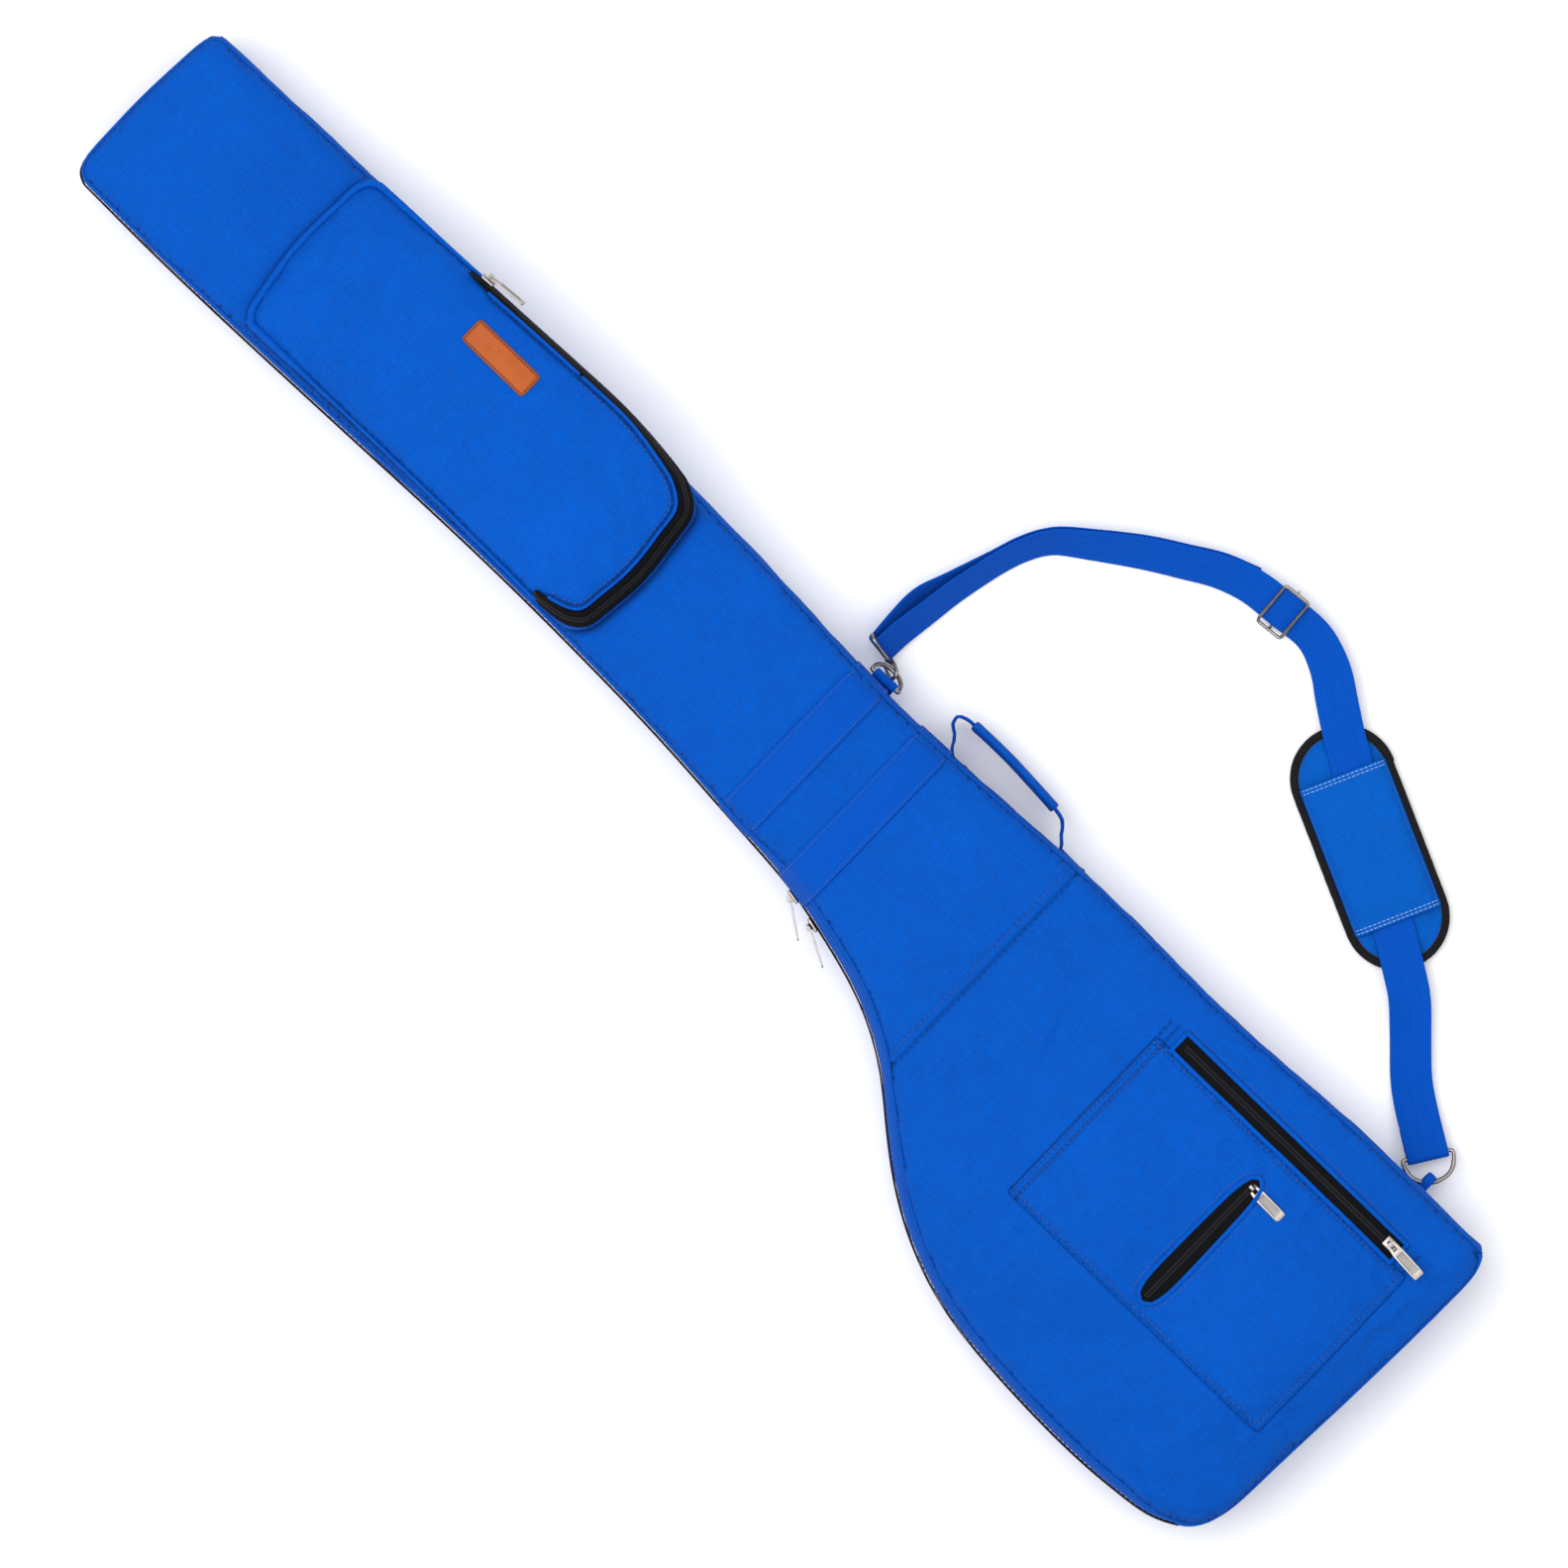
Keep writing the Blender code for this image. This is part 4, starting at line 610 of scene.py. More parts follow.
def smooth_rows(packed, step):
    """Catmull-Rom rows of (centre, width vector) as 6-vectors, about step apart."""
    result = []
    n = len(packed)
    for i in range(n - 1):
        a, b = packed[i], packed[i + 1]
        before = packed[i - 1] if i else a * 2 - b
        after = packed[i + 2] if i + 2 < n else b * 2 - a
        count = max(1, round((Vector(b[:3]) - Vector(a[:3])).length / step))
        result += [on_curve(before, a, b, after, k / count) for k in range(count)]
    result.append(packed[-1])
    return result


def strip_rows(node, width, step=0.004):
    """Middle of a CAD strip as even rows of (centre, side, normal, half width), lowest in y first."""
    bm = welded(node)

    def cap_at(first):
        group = {first}
        for face in bm.faces:
            shared = [e for e in face.edges if e in first.edges]
            if shared and face.normal.dot(first.normal) > 0.98 and shared[0].calc_length() > 0.85 * width:
                group.add(face)
        return {v for f in group for v in f.verts}

    def is_cap(face):
        sizes = sorted(e.calc_length() for e in face.edges)
        return sizes[0] < 0.0024 and 0.85 * width < sizes[1] and sizes[2] < 1.3 * width

    found = []
    for first in sorted((f for f in bm.faces if is_cap(f)), key=lambda f: f.calc_center_median().y):
        current, rows, seen = cap_at(first), [], set()
        while len(current) == 4:
            rows.append(sorted(current, key=lambda v: v.co[:]))
            seen |= current
            current = {e.other_vert(v) for v in current for e in v.link_edges} - seen
        if len(rows) > len(found):
            found = rows
    rows = found
    packed, last = [], None
    for corners in rows:
        a = corners[0]
        pair = min(corners[1:], key=lambda v: (v.co - a.co).length)
        others = [v for v in corners if v is not a and v is not pair]
        left = (a.co + pair.co) / 2
        right = (others[0].co + others[1].co) / 2
        if last and (right - left).dot(last) < 0:
            left, right = right, left
        last = right - left
        packed.append(Vector((*((left + right) / 2), *last)))
    bm.free()
    return rows_along(packed, step)


def coil(name, path, across_of, up_of, body, shift, half, phase):
    """One half of a zip's coil: turns side by side along the path, moved sideways by shift."""
    points = even(path, COIL_PITCH)
    vertices, faces = [], []
    for i, p in enumerate(points):
        along = tangent(points, i)
        across, up = across_of(p, along), up_of(p, along)
        middle = p + across * shift + along * phase * COIL_PITCH + up * 0.0003
        rings = [(middle + across * reach * half, size)
                 for reach, size in ((-1.0, 0.35), (-0.6, 1.0), (0.6, 1.0), (1.0, 0.35))]
        bead(vertices, faces, rings, across.cross(up).normalized(), up, COIL_RADIUS, 0.25)
    dress(from_data(name, vertices, faces), COIL, body)


class Surface:
    """Looks up places on a finished piece, from above or from the nearest side."""

    def __init__(self, *pieces):
        bm = bmesh.new()
        for piece in pieces:
            bm.from_mesh(piece.data)
        self.tree = BVHTree.FromBMesh(bm)
        bm.free()

    def at(self, x, y, rise=0.0):
        point, normal, _, _ = self.tree.ray_cast(Vector((x, y, 0.5)), -UP)
        if point is None:
            point, normal, _, _ = self.tree.find_nearest(Vector((x, y, PANEL_TOP)))
            point = Vector((x, y, point.z))
        if normal.z < 0:
            normal = -normal
        return point + normal * rise, normal

    def row(self, places, rise=0.0):
        return [self.at(x, y, rise) for x, y in places]

    def beside(self, place, outward, rise=0.0):
        """Nearest place on the surface, lifted outwards."""
        point, normal, _, _ = self.tree.find_nearest(place)
        if normal.dot(outward) < 0:
            normal = -normal
        return point + normal * rise, normal


class Rim:
    """Distance to the edge line of a panel."""

    def __init__(self, points, closed=True):
        self.points = even(points, 0.0015, closed)
        self.tree = KDTree(len(self.points))
        for i, p in enumerate(self.points):
            self.tree.insert(p, i)
        self.tree.balance()

    def distance(self, p):
        return self.tree.find(p)[2]

    def outward(self, p, middle_at):
        """Level direction square to the nearest piece of the edge, away from the middle."""
        i = self.tree.find(p)[1]
        ahead = self.points[(i + 3) % len(self.points)]
        return flat_out(middle_at)(p, ahead - self.points[i - 3])


def wave(point, scale, seed=0.0):
    """Smooth noise from -1 to 1 with bumps about scale metres across."""
    return noise.noise(point / scale + Vector((seed, seed * 1.7, seed * 0.6)))


def moved(obj, shift):
    """Move each vertex by shift(position, normal)."""
    mesh = obj.data
    normals = [v.normal.copy() for v in mesh.vertices]
    for vertex, normal in zip(mesh.vertices, normals):
        vertex.co += shift(vertex.co.copy(), normal)
    mesh.update()
    return obj


def store_painted_shade(obj, amount):
    """Store how much painted shade each point gets in seams, grooves and recesses, which the material's
    colour reads.
    """
    layer = obj.data.attributes.new("painted_shade", "FLOAT", "POINT")
    for vertex, value in zip(obj.data.vertices, layer.data):
        value.value = min(max(amount(vertex.co), 0.0), 1.0)
    return obj


def bell(distance, width):
    return math.exp(-(distance / width) ** 2)


def line(a, b, count=40):
    """Plan points from a to b."""
    return [(a[0] + (b[0] - a[0]) * k / count, a[1] + (b[1] - a[1]) * k / count) for k in range(count + 1)]


def inside(loop, x, y):
    """True when the plan point lies inside the closed loop."""
    found = False
    for i in range(len(loop)):
        a, b = loop[i - 1], loop[i]
        if (a.y > y) != (b.y > y) and x < a.x + (b.x - a.x) * (y - a.y) / (b.y - a.y):
            found = not found
    return found


def face_up(sheet):
    if sum(p.normal.z for p in sheet.data.polygons) < 0:
        sheet.data.flip_normals()
    return sheet


def blanket(name, rim, step, height):
    """Evenly spaced sheet inside a closed rim: points in offset rows, with height(x, y) above the floor."""
    edge = even(rim, step, closed=True)
    limit = Rim([Vector((p.x, p.y, 0)) for p in edge])
    low_x, high_x = min(p.x for p in edge), max(p.x for p in edge)
    low_y, high_y = min(p.y for p in edge), max(p.y for p in edge)
    points = [Vector((p.x, p.y)) for p in edge]
    y, row = low_y, 0
    while y < high_y:
        x = low_x + (step / 2 if row % 2 else 0)
        while x < high_x:
            if inside(edge, x, y) and limit.distance(Vector((x, y, 0))) > step * 0.6:
                points.append(Vector((x, y)))
            x += step
        y += step * 0.866
        row += 1
    n = len(edge)
    made = delaunay_2d_cdt(points, [], [list(range(n))], 1, 1e-6)
    vertices = []
    for i, p in enumerate(made[0]):
        origins = made[3][i]
        z = edge[origins[0]].z if origins and origins[0] < n else height(p.x, p.y)
        vertices.append((p.x, p.y, z))
    return face_up(from_data(name, vertices, [tuple(f) for f in made[2]]))


def eased(obj, rounds):
    """Even out heights inside the rim, to take the facets off a sheet."""
    bm = bmesh.new()
    bm.from_mesh(obj.data)
    free = [v for v in bm.verts if not v.is_boundary]
    near = [[e.other_vert(v) for e in v.link_edges] for v in free]
    for _ in range(rounds):
        goal = [sum(o.co.z for o in others) / len(others) for others in near]
        for v, z in zip(free, goal):
            v.co.z += 0.6 * (z - v.co.z)
    bm.to_mesh(obj.data)
    bm.free()
    return obj


def inflated(obj, held, pressure, growth, cap, floor=None):
    """Cloth simulation of a padded sheet: held(p) from 0 to 1 pins it.

    No point moves further than cap, or sinks further than floor, which is negative.
    """
    start = [v.co.copy() for v in obj.data.vertices]
    group = obj.vertex_groups.new(name="held")
    for i, p in enumerate(start):
        group.add([i], held(p), "REPLACE")
    cloth = obj.modifiers.new("cloth", "CLOTH")
    for key, value in (
            ("quality", 6), ("mass", 0.15), ("tension_stiffness", 18), ("compression_stiffness", 18),
            ("shear_stiffness", 6), ("bending_stiffness", 0.25), ("air_damping", 4),
            ("vertex_group_mass", "held"), ("use_pressure", True), ("uniform_pressure_force", pressure),
            ("shrink_min", -growth), ("shrink_max", -growth)):
        setattr(cloth.settings, key, value)
    cloth.settings.effector_weights.gravity = 0
    cloth.collision_settings.use_self_collision = False
    cloth.point_cache.frame_start = 1
    cloth.point_cache.frame_end = SIM_FRAMES
    scene = bpy.context.scene
    for frame_number in range(1, SIM_FRAMES + 1):
        scene.frame_set(frame_number)
    graph = bpy.context.evaluated_depsgraph_get()
    swollen = obj.evaluated_get(graph).to_mesh()
    goal = [v.co.copy() for v in swollen.vertices]
    obj.evaluated_get(graph).to_mesh_clear()
    obj.modifiers.clear()
    obj.vertex_groups.clear()
    scene.frame_set(1)
    for vertex, before, after in zip(obj.data.vertices, start, goal):
        shift = after - before
        if shift.length > cap:
            shift *= cap / shift.length
        vertex.co = before + shift
        if floor is not None:
            vertex.co.z = max(vertex.co.z, before.z + floor)
    obj.data.update()
    return obj


def rim_of(obj, test=lambda p: True):
    """The longest run of a sheet's open edge."""
    bm = bmesh.new()
    bm.from_mesh(obj.data)
    rim = chains([e for e in bm.edges if e.is_boundary and all(test(v.co) for v in e.verts)])[0]
    bm.free()
    return rim


def skin(name, nodes, test, levels=2, gap=2e-5):
    """Outer faces of CAD solids as one smooth sheet."""
    return finer(new_piece(name, keep(welded(*nodes, gap=gap), test)), levels)


def whole(name, node, material, body):
    """A CAD solid with its facets smoothed away."""
    bm = welded(node)
    bmesh.ops.join_triangles(bm, faces=bm.faces[:], angle_face_threshold=0.6, angle_shape_threshold=1.2)
    dress(finer(new_piece(name, bm), 2), material, body, node)


# ---- front ----------------------------------------------------------------------------------
def make_front():
    """Front panel: padded sheet with a lapped, top-stitched seam at the neck and puckered edges."""
    panels = ("front_panel_neck", "front_panel_body")
    guide = skin("front_guide", panels, lambda f: f.normal.z > 0.03, 2, 0.0006)
    edge = [Vector((p.x, p.y, PANEL_TOP)) for p in rim_of(guide) if abs(p.y - NECK_SEAM_Y) > 0.007]
    rest = Surface(guide)
    bpy.data.objects.remove(guide, do_unlink=True)
    front = blanket("front_cover", edge, 0.0052, lambda x, y: rest.at(x, y)[0].z)
    rim = Rim(edge)
    bands = [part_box(name) for name in ("band_1", "band_2")]

    def held(p):
        if rim.distance(p) < 0.001:
            return 1.0
        if any(low.y < p.y < high.y for low, high in bands):
            return 0.9
        return 0.9 * bell(p.y - NECK_SEAM_Y, 0.003)

    inflated(front, held, 1.2, 0.012, 0.0045, floor=-0.0002)
    split(front)
    moved(front, lambda p, n: rim.outward(p, bag_middle) * rolled(p) * bell(rim.distance(p) - 0.0040, 0.0065))

    def relief(p, normal):
        seam = p.y - NECK_SEAM_Y
        inner = rim.distance(p)
        free = 1 - math.exp(-(inner / 0.010) ** 2)
        soft = 0.0007 * wave(p, 0.060, 3.1) + 0.0004 * wave(p, 0.024, 7.7)
        pucker = 0.0012 * bell(inner - 0.013, 0.012) * wave(Vector((p.x, p.y, 0)), 0.014, 1.3)
        at_seam = 0.0006 * bell(abs(seam) - 0.008, 0.007) * wave(Vector((p.x, p.y * 0.3, 0)), 0.009, 5.0)
        dip = -0.0011 * bell(seam + 0.0005, 0.0013) - 0.0005 * bell(seam - 0.0060, 0.0012)
        lap = 0.0007 * bell(seam - 0.0032, 0.0030)
        return normal * (soft * free + pucker + at_seam + dip + lap + 0.0003)

    moved(front, relief)
    surface = Surface(front)
    foot = skin("pocket_foot", ["pocket_gusset"], outside_of(pocket_middle), 1)
    pocket_rim = Rim(sides_of(foot, 0.003)[0])
    bpy.data.objects.remove(foot, do_unlink=True)

    # Painted shade: darker colour at the front's rim, along the neck seam, beside the upper pocket's wall and
    # along the lower pocket's seams.
    def depth(p):
        seam = p.y - NECK_SEAM_Y
        return (bell(rim.distance(p), 0.0022) + 0.8 * bell(seam + 0.0006, 0.0011)
                + 0.4 * bell(seam - 0.0060, 0.0009) + 0.95 * bell(pocket_rim.distance(p) - 0.0012, 0.0030)
                + run_on_shade(p))

    store_painted_shade(front, depth)
    thick(front, 0.0011)
    dress(front, CLOTH, "front_shell", *panels, fill=0.55)
    by_seam = [p.x for p in edge if abs(p.y - NECK_SEAM_Y) < 0.02]
    sewn_y = NECK_SEAM_Y + 0.006
    rows = [surface.row(line((min(by_seam) + 0.004, sewn_y), (max(by_seam) - 0.003, sewn_y)))]
    stitches("neck_seam_stitches", rows, THREAD_DARK, "front_shell")
    return surface, edge


def run_on_shade(p):
    """Painted shade lines where the seams at the top and foot of the lower pocket run on past the end of the
    long zip.
    """
    low, high = POCKET_BOX
    if not high.x < p.x < LONG_ZIP_BOX[1].x:
        return 0.0
    return 0.7 * max(bell(p.y - high.y + 0.0075, 0.0011), bell(p.y - high.y + 0.0010, 0.0011),
                     bell(p.y - low.y - 0.0045, 0.0011))


def rolled(p):
    """How far the padded front hangs over its seam: less where the zip side of the body shows."""
    full = 0.0050
    if p.x > centre_x(p.y):
        return full
    shown = min(max((-0.03 - p.y) / 0.06, 0.0), 1.0) * min(max((p.y + 0.60) / 0.05, 0.0), 1.0)
    return full * (1 - 0.9 * shown)


def bag_middle(y):
    """Plan point that the side wall at y looks away from."""
    return Vector((centre_x(y), min(max(y, -0.50), 0.55)))


def pocket_middle(y):
    """The same for the wall round the upper pocket."""
    return Vector((0.006, min(max(y, 0.205), 0.405)))


def outside_of(middle_at):
    """Test for the faces of a wall that look away from the middle of the bag or pocket."""
    def test(face):
        middle = face.calc_center_median()
        centre = middle_at(middle.y)
        away = Vector((middle.x - centre.x, middle.y - centre.y, 0))
        flat = Vector((face.normal.x, face.normal.y, 0))
        return flat.dot(away) > 0 and flat.length > 0.45
    return test


def bulged(low, high, amount, seed, ripple=0.0008, scale=0.030):
    """A soft wall: fuller half way up, with slack upright folds."""
    def shift(p, normal):
        f = min(max((p.z - low) / (high - low), 0.0), 1.0)
        held = math.sin(math.pi * f)
        place = Vector((p.x, p.y, p.z * 0.35))
        folds = ripple * (wave(place, scale, seed) + 0.6 * wave(place, scale * 0.42, seed + 4))
        return Vector((normal.x, normal.y, 0)) * held * (amount + folds)
    return shift


def make_walls():
    """Side walls: soft cloth between the piping at the front and the seam at the back."""
    outward = outside_of(bag_middle)
    made = {}

    # Painted shade along the seams at the top and foot of each wall.
    def seam_shade(p):
        return bell(p.z - PANEL_TOP, 0.0020) + 0.8 * bell(p.z, 0.0020)

    for name, node, body in (("zip_wall_upper", "upper_gusset_zip_side", "front_shell"),
                             ("zip_wall_lower", "lower_gusset_zip_side", "root")):
        low, high = (0.0 if body == "root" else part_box(node)[0].z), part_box(node)[1].z
        wall = skin(name, [node], outward)
        moved(wall, bulged(low, high, 0.0006, 4.0 + low * 90))
        made[name] = Surface(wall)
        store_painted_shade(wall, seam_shade)
        dress(thick(wall, 0.0010), CLOTH, body, node, fill=0.4)
    for name, nodes in (("hinge_wall", ("lower_gusset_hinge_side", "upper_gusset_hinge_side")),
                        ("end_wall", ("lower_gusset_base", "upper_gusset_base"))):
        wall = skin(name, nodes, outward, 3, 0.0010)
        moved(wall, bulged(0.0, PANEL_TOP, 0.0019, 9.0, 0.0009))
        made[name] = Surface(wall)
        store_painted_shade(wall, seam_shade)
        between = ("root", "front_shell", (0, 0, OPENING_Z - 0.012), (0, 0, OPENING_Z + 0.012))
        dress(thick(wall, 0.0010), CLOTH, between, *nodes, fill=0.4)
    return made


def flat_out(middle_at):
    """Level direction square to an edge that runs along, away from the middle."""
    def out(p, along):
        side = Vector((along.y, -along.x, 0)).normalized()
        centre = middle_at(p.y)
        return side if side.dot(Vector((p.x - centre.x, p.y - centre.y, 0))) > 0 else -side
    return out


def make_main_zip(walls):
    """Opening zip: a woven tape on each shell, its coil along the opening and the stitched wall edges."""
    out = flat_out(bag_middle)
    for half, body, side in (("upper", "front_shell", 1), ("lower", "root", -1)):
        node = "main_zip_" + half
        wall = "zip_wall_" + half
        tape = skin("main_tape_" + half, [node], outside_of(bag_middle), 1)
        edge = rim_of(tape, lambda p: abs(p.z - OPENING_Z) < 0.0006)
        moved(tape, lambda p, n: Vector((n.x, n.y, 0)) * 0.0012 * bell(p.z - OPENING_Z, 0.0045))
        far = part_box(node)[1].z if side > 0 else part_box(node)[0].z
        dress(thick(tape, TAPE_THICK), TAPE, body, node)
        path = [Vector((p.x, p.y, OPENING_Z)) + out(p, UP.cross(p - bag_middle(p.y).to_3d())) * 0.0012
                for p in edge]
        coil("main_coil_" + half, path, lambda p, a: UP, out, body, side * 0.00155, 0.0011, side * 0.25)
        row = []
        for p in even(edge, 0.006):
            place = Vector((p.x, p.y, far + side * 0.0022))
            row.append(walls[wall].beside(place, Vector((p.x, p.y, 0)) - bag_middle(p.y).to_3d(), 0.0001))
        stitches(wall + "_stitches", [row], THREAD_DARK, body)


def make_piping(edge):
    """Self-fabric piping round the front, and the seam roll round the back panel."""
    loop = even(edge, 0.0045, closed=True)
    limit = Rim(loop)
    lowered = [Vector((p.x, p.y, PANEL_TOP + 0.0010 - rolled(p) * 0.5))
               + limit.outward(p, bag_middle) * rolled(p) * 0.95 for p in loop]
    dress(tube("front_piping", lowered, 0.0014, 10, closed=True), CLOTH, "front_shell")
    back = new_piece("back_cover", keep(welded("back_panel"), lambda f: f.normal.z < -0.5))
    rim = even(rim_of(back), 0.0045, closed=True)
    raised = [Vector((p.x, p.y, 0.0014)) for p in rim]
    dress(tube("back_piping", raised, 0.0013, 8, closed=True), CLOTH, "root")
    bpy.data.objects.remove(back, do_unlink=True)
    laid = [Vector((p.x, p.y, 0.0002)) for p in rim]
    back = blanket("back_cover", laid, 0.010, lambda x, y: 0.0002)
    limit = Rim(laid)
    moved(back, lambda p, n: Vector((0, 0, 0.0007 * bell(limit.distance(p), 0.006)
                                     + 0.0003 + 0.0003 * wave(p, 0.05))))
    split(back)
    thick(back, 0.0008, 1.0)
    dress(back, CLOTH, "root", "back_panel", fill=0.4)


def wrap_line(y, front_top, walls, bottom):
    """Line over the bag at one y: up the zip side, over the front and down the hinge side."""
    heights = [bottom + (PANEL_TOP - 0.0015 - bottom) * k / 6 for k in range(7)]
    left, right = [], []
    for side, wall, way in ((left, "zip_wall_upper", 1), (right, "hinge_wall", -1)):
        for z in heights:
            hit = walls[wall].tree.ray_cast(Vector((-0.3 * way, y, z)), Vector((way, 0, 0)))[0]
            side.append(hit + Vector((-0.0009 * way, 0, 0)))
    low, high = left[-1].x + 0.0035, right[-1].x - 0.0035
    top = [front_top.at(x, y)[0] + Vector((0, 0, 0.0012)) for x, _ in line((low, y), (high, y), 34)]
    for end in (top[0], top[-1]):
        end.z = max(end.z, PANEL_TOP + 0.0030)
    return left + top + right[::-1]


def rows_along(packed, step):
    """Even rows of (centre, side, normal, half width) from 6-vectors of centre and width."""
    smooth = smooth_rows(packed, step)
    result = []
    for i, p in enumerate(smooth):
        before, after = smooth[max(i - 1, 0)], smooth[min(i + 1, len(smooth) - 1)]
        along = (Vector(after[:3]) - Vector(before[:3])).normalized()
        wide = Vector(p[3:])
        side = (wide - along * wide.dot(along)).normalized()
        result.append((Vector(p[:3]), side, along.cross(side), wide.length / 2))
    return result


def make_bands(front_top, walls):
    """Two webbing bands sewn over the front along both edges."""
    for name in ("band_1", "band_2"):
        low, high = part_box(name)
        upper = wrap_line(high.y, front_top, walls, low.z)
        lower = wrap_line(low.y, front_top, walls, low.z)
        packed = [Vector((*((a + b) / 2), *(a - b))) for a, b in zip(upper, lower)]
        rows = rows_along(packed, 0.003)
        webbing(name + "_webbing", name, rows, "front_shell", 0.0015, 11, 0.00022)
        lines = [[(c + s * (h - 0.0022) * edge + n * face * 0.00075, n * face) for c, s, n, h in rows]
                 for edge in (-1, 1) for face in (-1, 1)]
        stitches(name + "_stitches", lines, THREAD_DARK, "front_shell", 0.0034, slot="blue_webbing")


# ---- upper pocket ---------------------------------------------------------------------------
def make_pocket():
    """Raised pocket: soft side wall, zipped flap that folds back, piped top edge."""
    outward = outside_of(pocket_middle)
    low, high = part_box("pocket_gusset")[0].z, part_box("pocket_gusset")[1].z
    wall = skin("pocket_side", ["pocket_gusset"], outward)
    moved(wall, bulged(low, high, 0.0012, 21.0, 0.0009, 0.024))
    foot_run, top_run = sides_of(wall, 0.003)
    seam_lines = (Rim(foot_run), Rim(top_run))
    # Painted shade along the foot and top seams of the pocket's side wall.
    store_painted_shade(wall, lambda p: max(bell(seam.distance(p), 0.0022) for seam in seam_lines))
    dress(thick(wall, 0.0009), POCKET_CLOTH, "front_shell", "pocket_gusset", fill=0.3)
    shoulder = skin("pocket_shoulder", ["pocket_wall_upper"], outward)
    out = flat_out(pocket_middle)

    def tooth_up(p, along):
        return (out(p, along) + UP * 0.75).normalized()

    def tooth_across(p, along):
        across = along.cross(tooth_up(p, along)).normalized()
        return across if across.z > 0 else -across

    for part, body, side in (("lower", "front_shell", 1), ("flap", "pocket_flap", -1),
                             ("fixed", "front_shell", -1)):
        tape = skin("pocket_tape_" + part, ["pocket_zip_" + part], outward)
        edge = sides_of(tape)[1 if side > 0 else 0]
        dress(thick(tape, TAPE_THICK), TAPE, body, "pocket_zip_" + part)
        coil("pocket_coil_" + part, edge, tooth_across, tooth_up, body, -side * 0.0012, 0.00115, side * 0.25)
    return make_lid(shoulder)


def sides_of(tape, limit=0.0012):
    """The lower and the upper long edge of a wall or tape, which may run right round."""
    bm = bmesh.new()
    bm.from_mesh(tape.data)
    edges = [e for e in bm.edges if e.is_boundary and abs(e.verts[0].co.z - e.verts[1].co.z) < limit]
    runs = chains(edges)[:2]
    bm.free()
    return sorted(runs, key=lambda run: sum(p.z for p in run) / len(run))


def make_lid(shoulder):
    """Pocket's lid and flap in one padded sheet that runs down to a thick rolled seam at its upper end."""
    lid_faces = keep(welded("pocket_lid", "pocket_flap", gap=0.0007), lambda f: f.normal.z > 0.03)
    guide = new_piece("lid_guide", lid_faces)
    rest = Surface(guide, shoulder)
    lid_edge = even(rim_of(guide), 0.004, closed=True)
    foot, shoulder_top = sides_of(shoulder)
    near_shoulder = Rim(shoulder_top, closed=False)
    free = open_run(lid_edge, lambda p: near_shoulder.distance(p) > 0.0045)
    foot = even(foot, 0.004)
    if (foot[0] - free[0]).length < (foot[-1] - free[0]).length:
        foot = foot[::-1]
    edge = foot + free[1:-1]
    for used in (guide, shoulder):
        bpy.data.objects.remove(used, do_unlink=True)
    lid = blanket("pocket_lid_cover", edge, 0.0044, lambda x, y: rest.at(x, y)[0].z)
    eased(lid, 14)
    rim = Rim(edge + edge[:1], closed=False)
    foot_line = Rim(foot, closed=False)
    inflated(lid, lambda p: 1.0 if rim.distance(p) < 0.001 else 0.0, 1.5, 0.010, 0.0030, floor=0.0)
    split(lid)

    def relief(p, normal):
        inner = rim.distance(p)
        by_foot = foot_line.distance(p)
        pucker = 0.0007 * bell(inner - 0.011, 0.009) * wave(p, 0.011, 12.0)
        full = 0.0012 * bell(by_foot - 0.010, 0.008)
        return normal * (0.0005 * wave(p, 0.045, 6.0) * min(inner / 0.01, 1) + pucker + full)

    moved(lid, relief)
    surface = Surface(lid)
    # Painted shade in the groove just inside the lid's rim.
    store_painted_shade(lid, lambda p: bell(rim.distance(p) - 0.0026, 0.0016))
    thick(lid, 0.0010)
    fold = JOINTS["pocket_flap_open"]
    axis = Vector(fold["axis"])
    hinge = Vector(fold["pos_m"])
    across = Vector((axis.y, -axis.x, 0)).normalized()
    across = across if across.y < 0 else -across
    between = ("front_shell", "pocket_flap", tuple(hinge - across * 0.008), tuple(hinge + across * 0.008))
    dress(lid, POCKET_CLOTH, between, "pocket_lid", "pocket_flap", "pocket_wall_upper", fill=0.6)
    roll = [p + Vector((0, 0, 0.0010)) for p in foot]
    top = max(p.y for p in foot)

    def roll_radius(t):
        p = roll[min(int(t * (len(roll) - 1) + 0.5), len(roll) - 1)]
        return 0.0013 + 0.0014 * bell(max(top - p.y - 0.030, 0), 0.040)

    dress(tube("pocket_top_roll", roll, roll_radius, 12), POCKET_CLOTH, "front_shell")
    flap_run = [p for p in free if (p - hinge).dot(across) > 0.0006]
    dress(tube("pocket_flap_roll", flap_run, 0.0012, 8), POCKET_CLOTH, "pocket_flap")
    for letter, right in (("a", True), ("b", False)):
        run = [p for p in free if (p - hinge).dot(across) < 0.0004 and (p.x > 0) == right]
        if len(run) > 2:
            dress(tube("pocket_edge_roll_" + letter, run, 0.0012, 8), POCKET_CLOTH, "front_shell")
    inner = []
    for p in flap_run:
        centre = pocket_middle(p.y)
        p = p + Vector((centre.x - p.x, centre.y - p.y, 0)).normalized() * 0.0042
        inner.append((p.x, p.y))
    stitches("pocket_flap_stitches", [surface.row(inner)], THREAD_DARK, "pocket_flap")
    return surface


def open_run(loop, test):
    """The one run of a closed loop's points that pass the test."""
    n = len(loop)
    start = next(i for i in range(n) if test(loop[i]) and not test(loop[i - 1]))
    run = []
    for k in range(n):
        p = loop[(start + k) % n]
        if not test(p):
            break
        run.append(p)
    return run


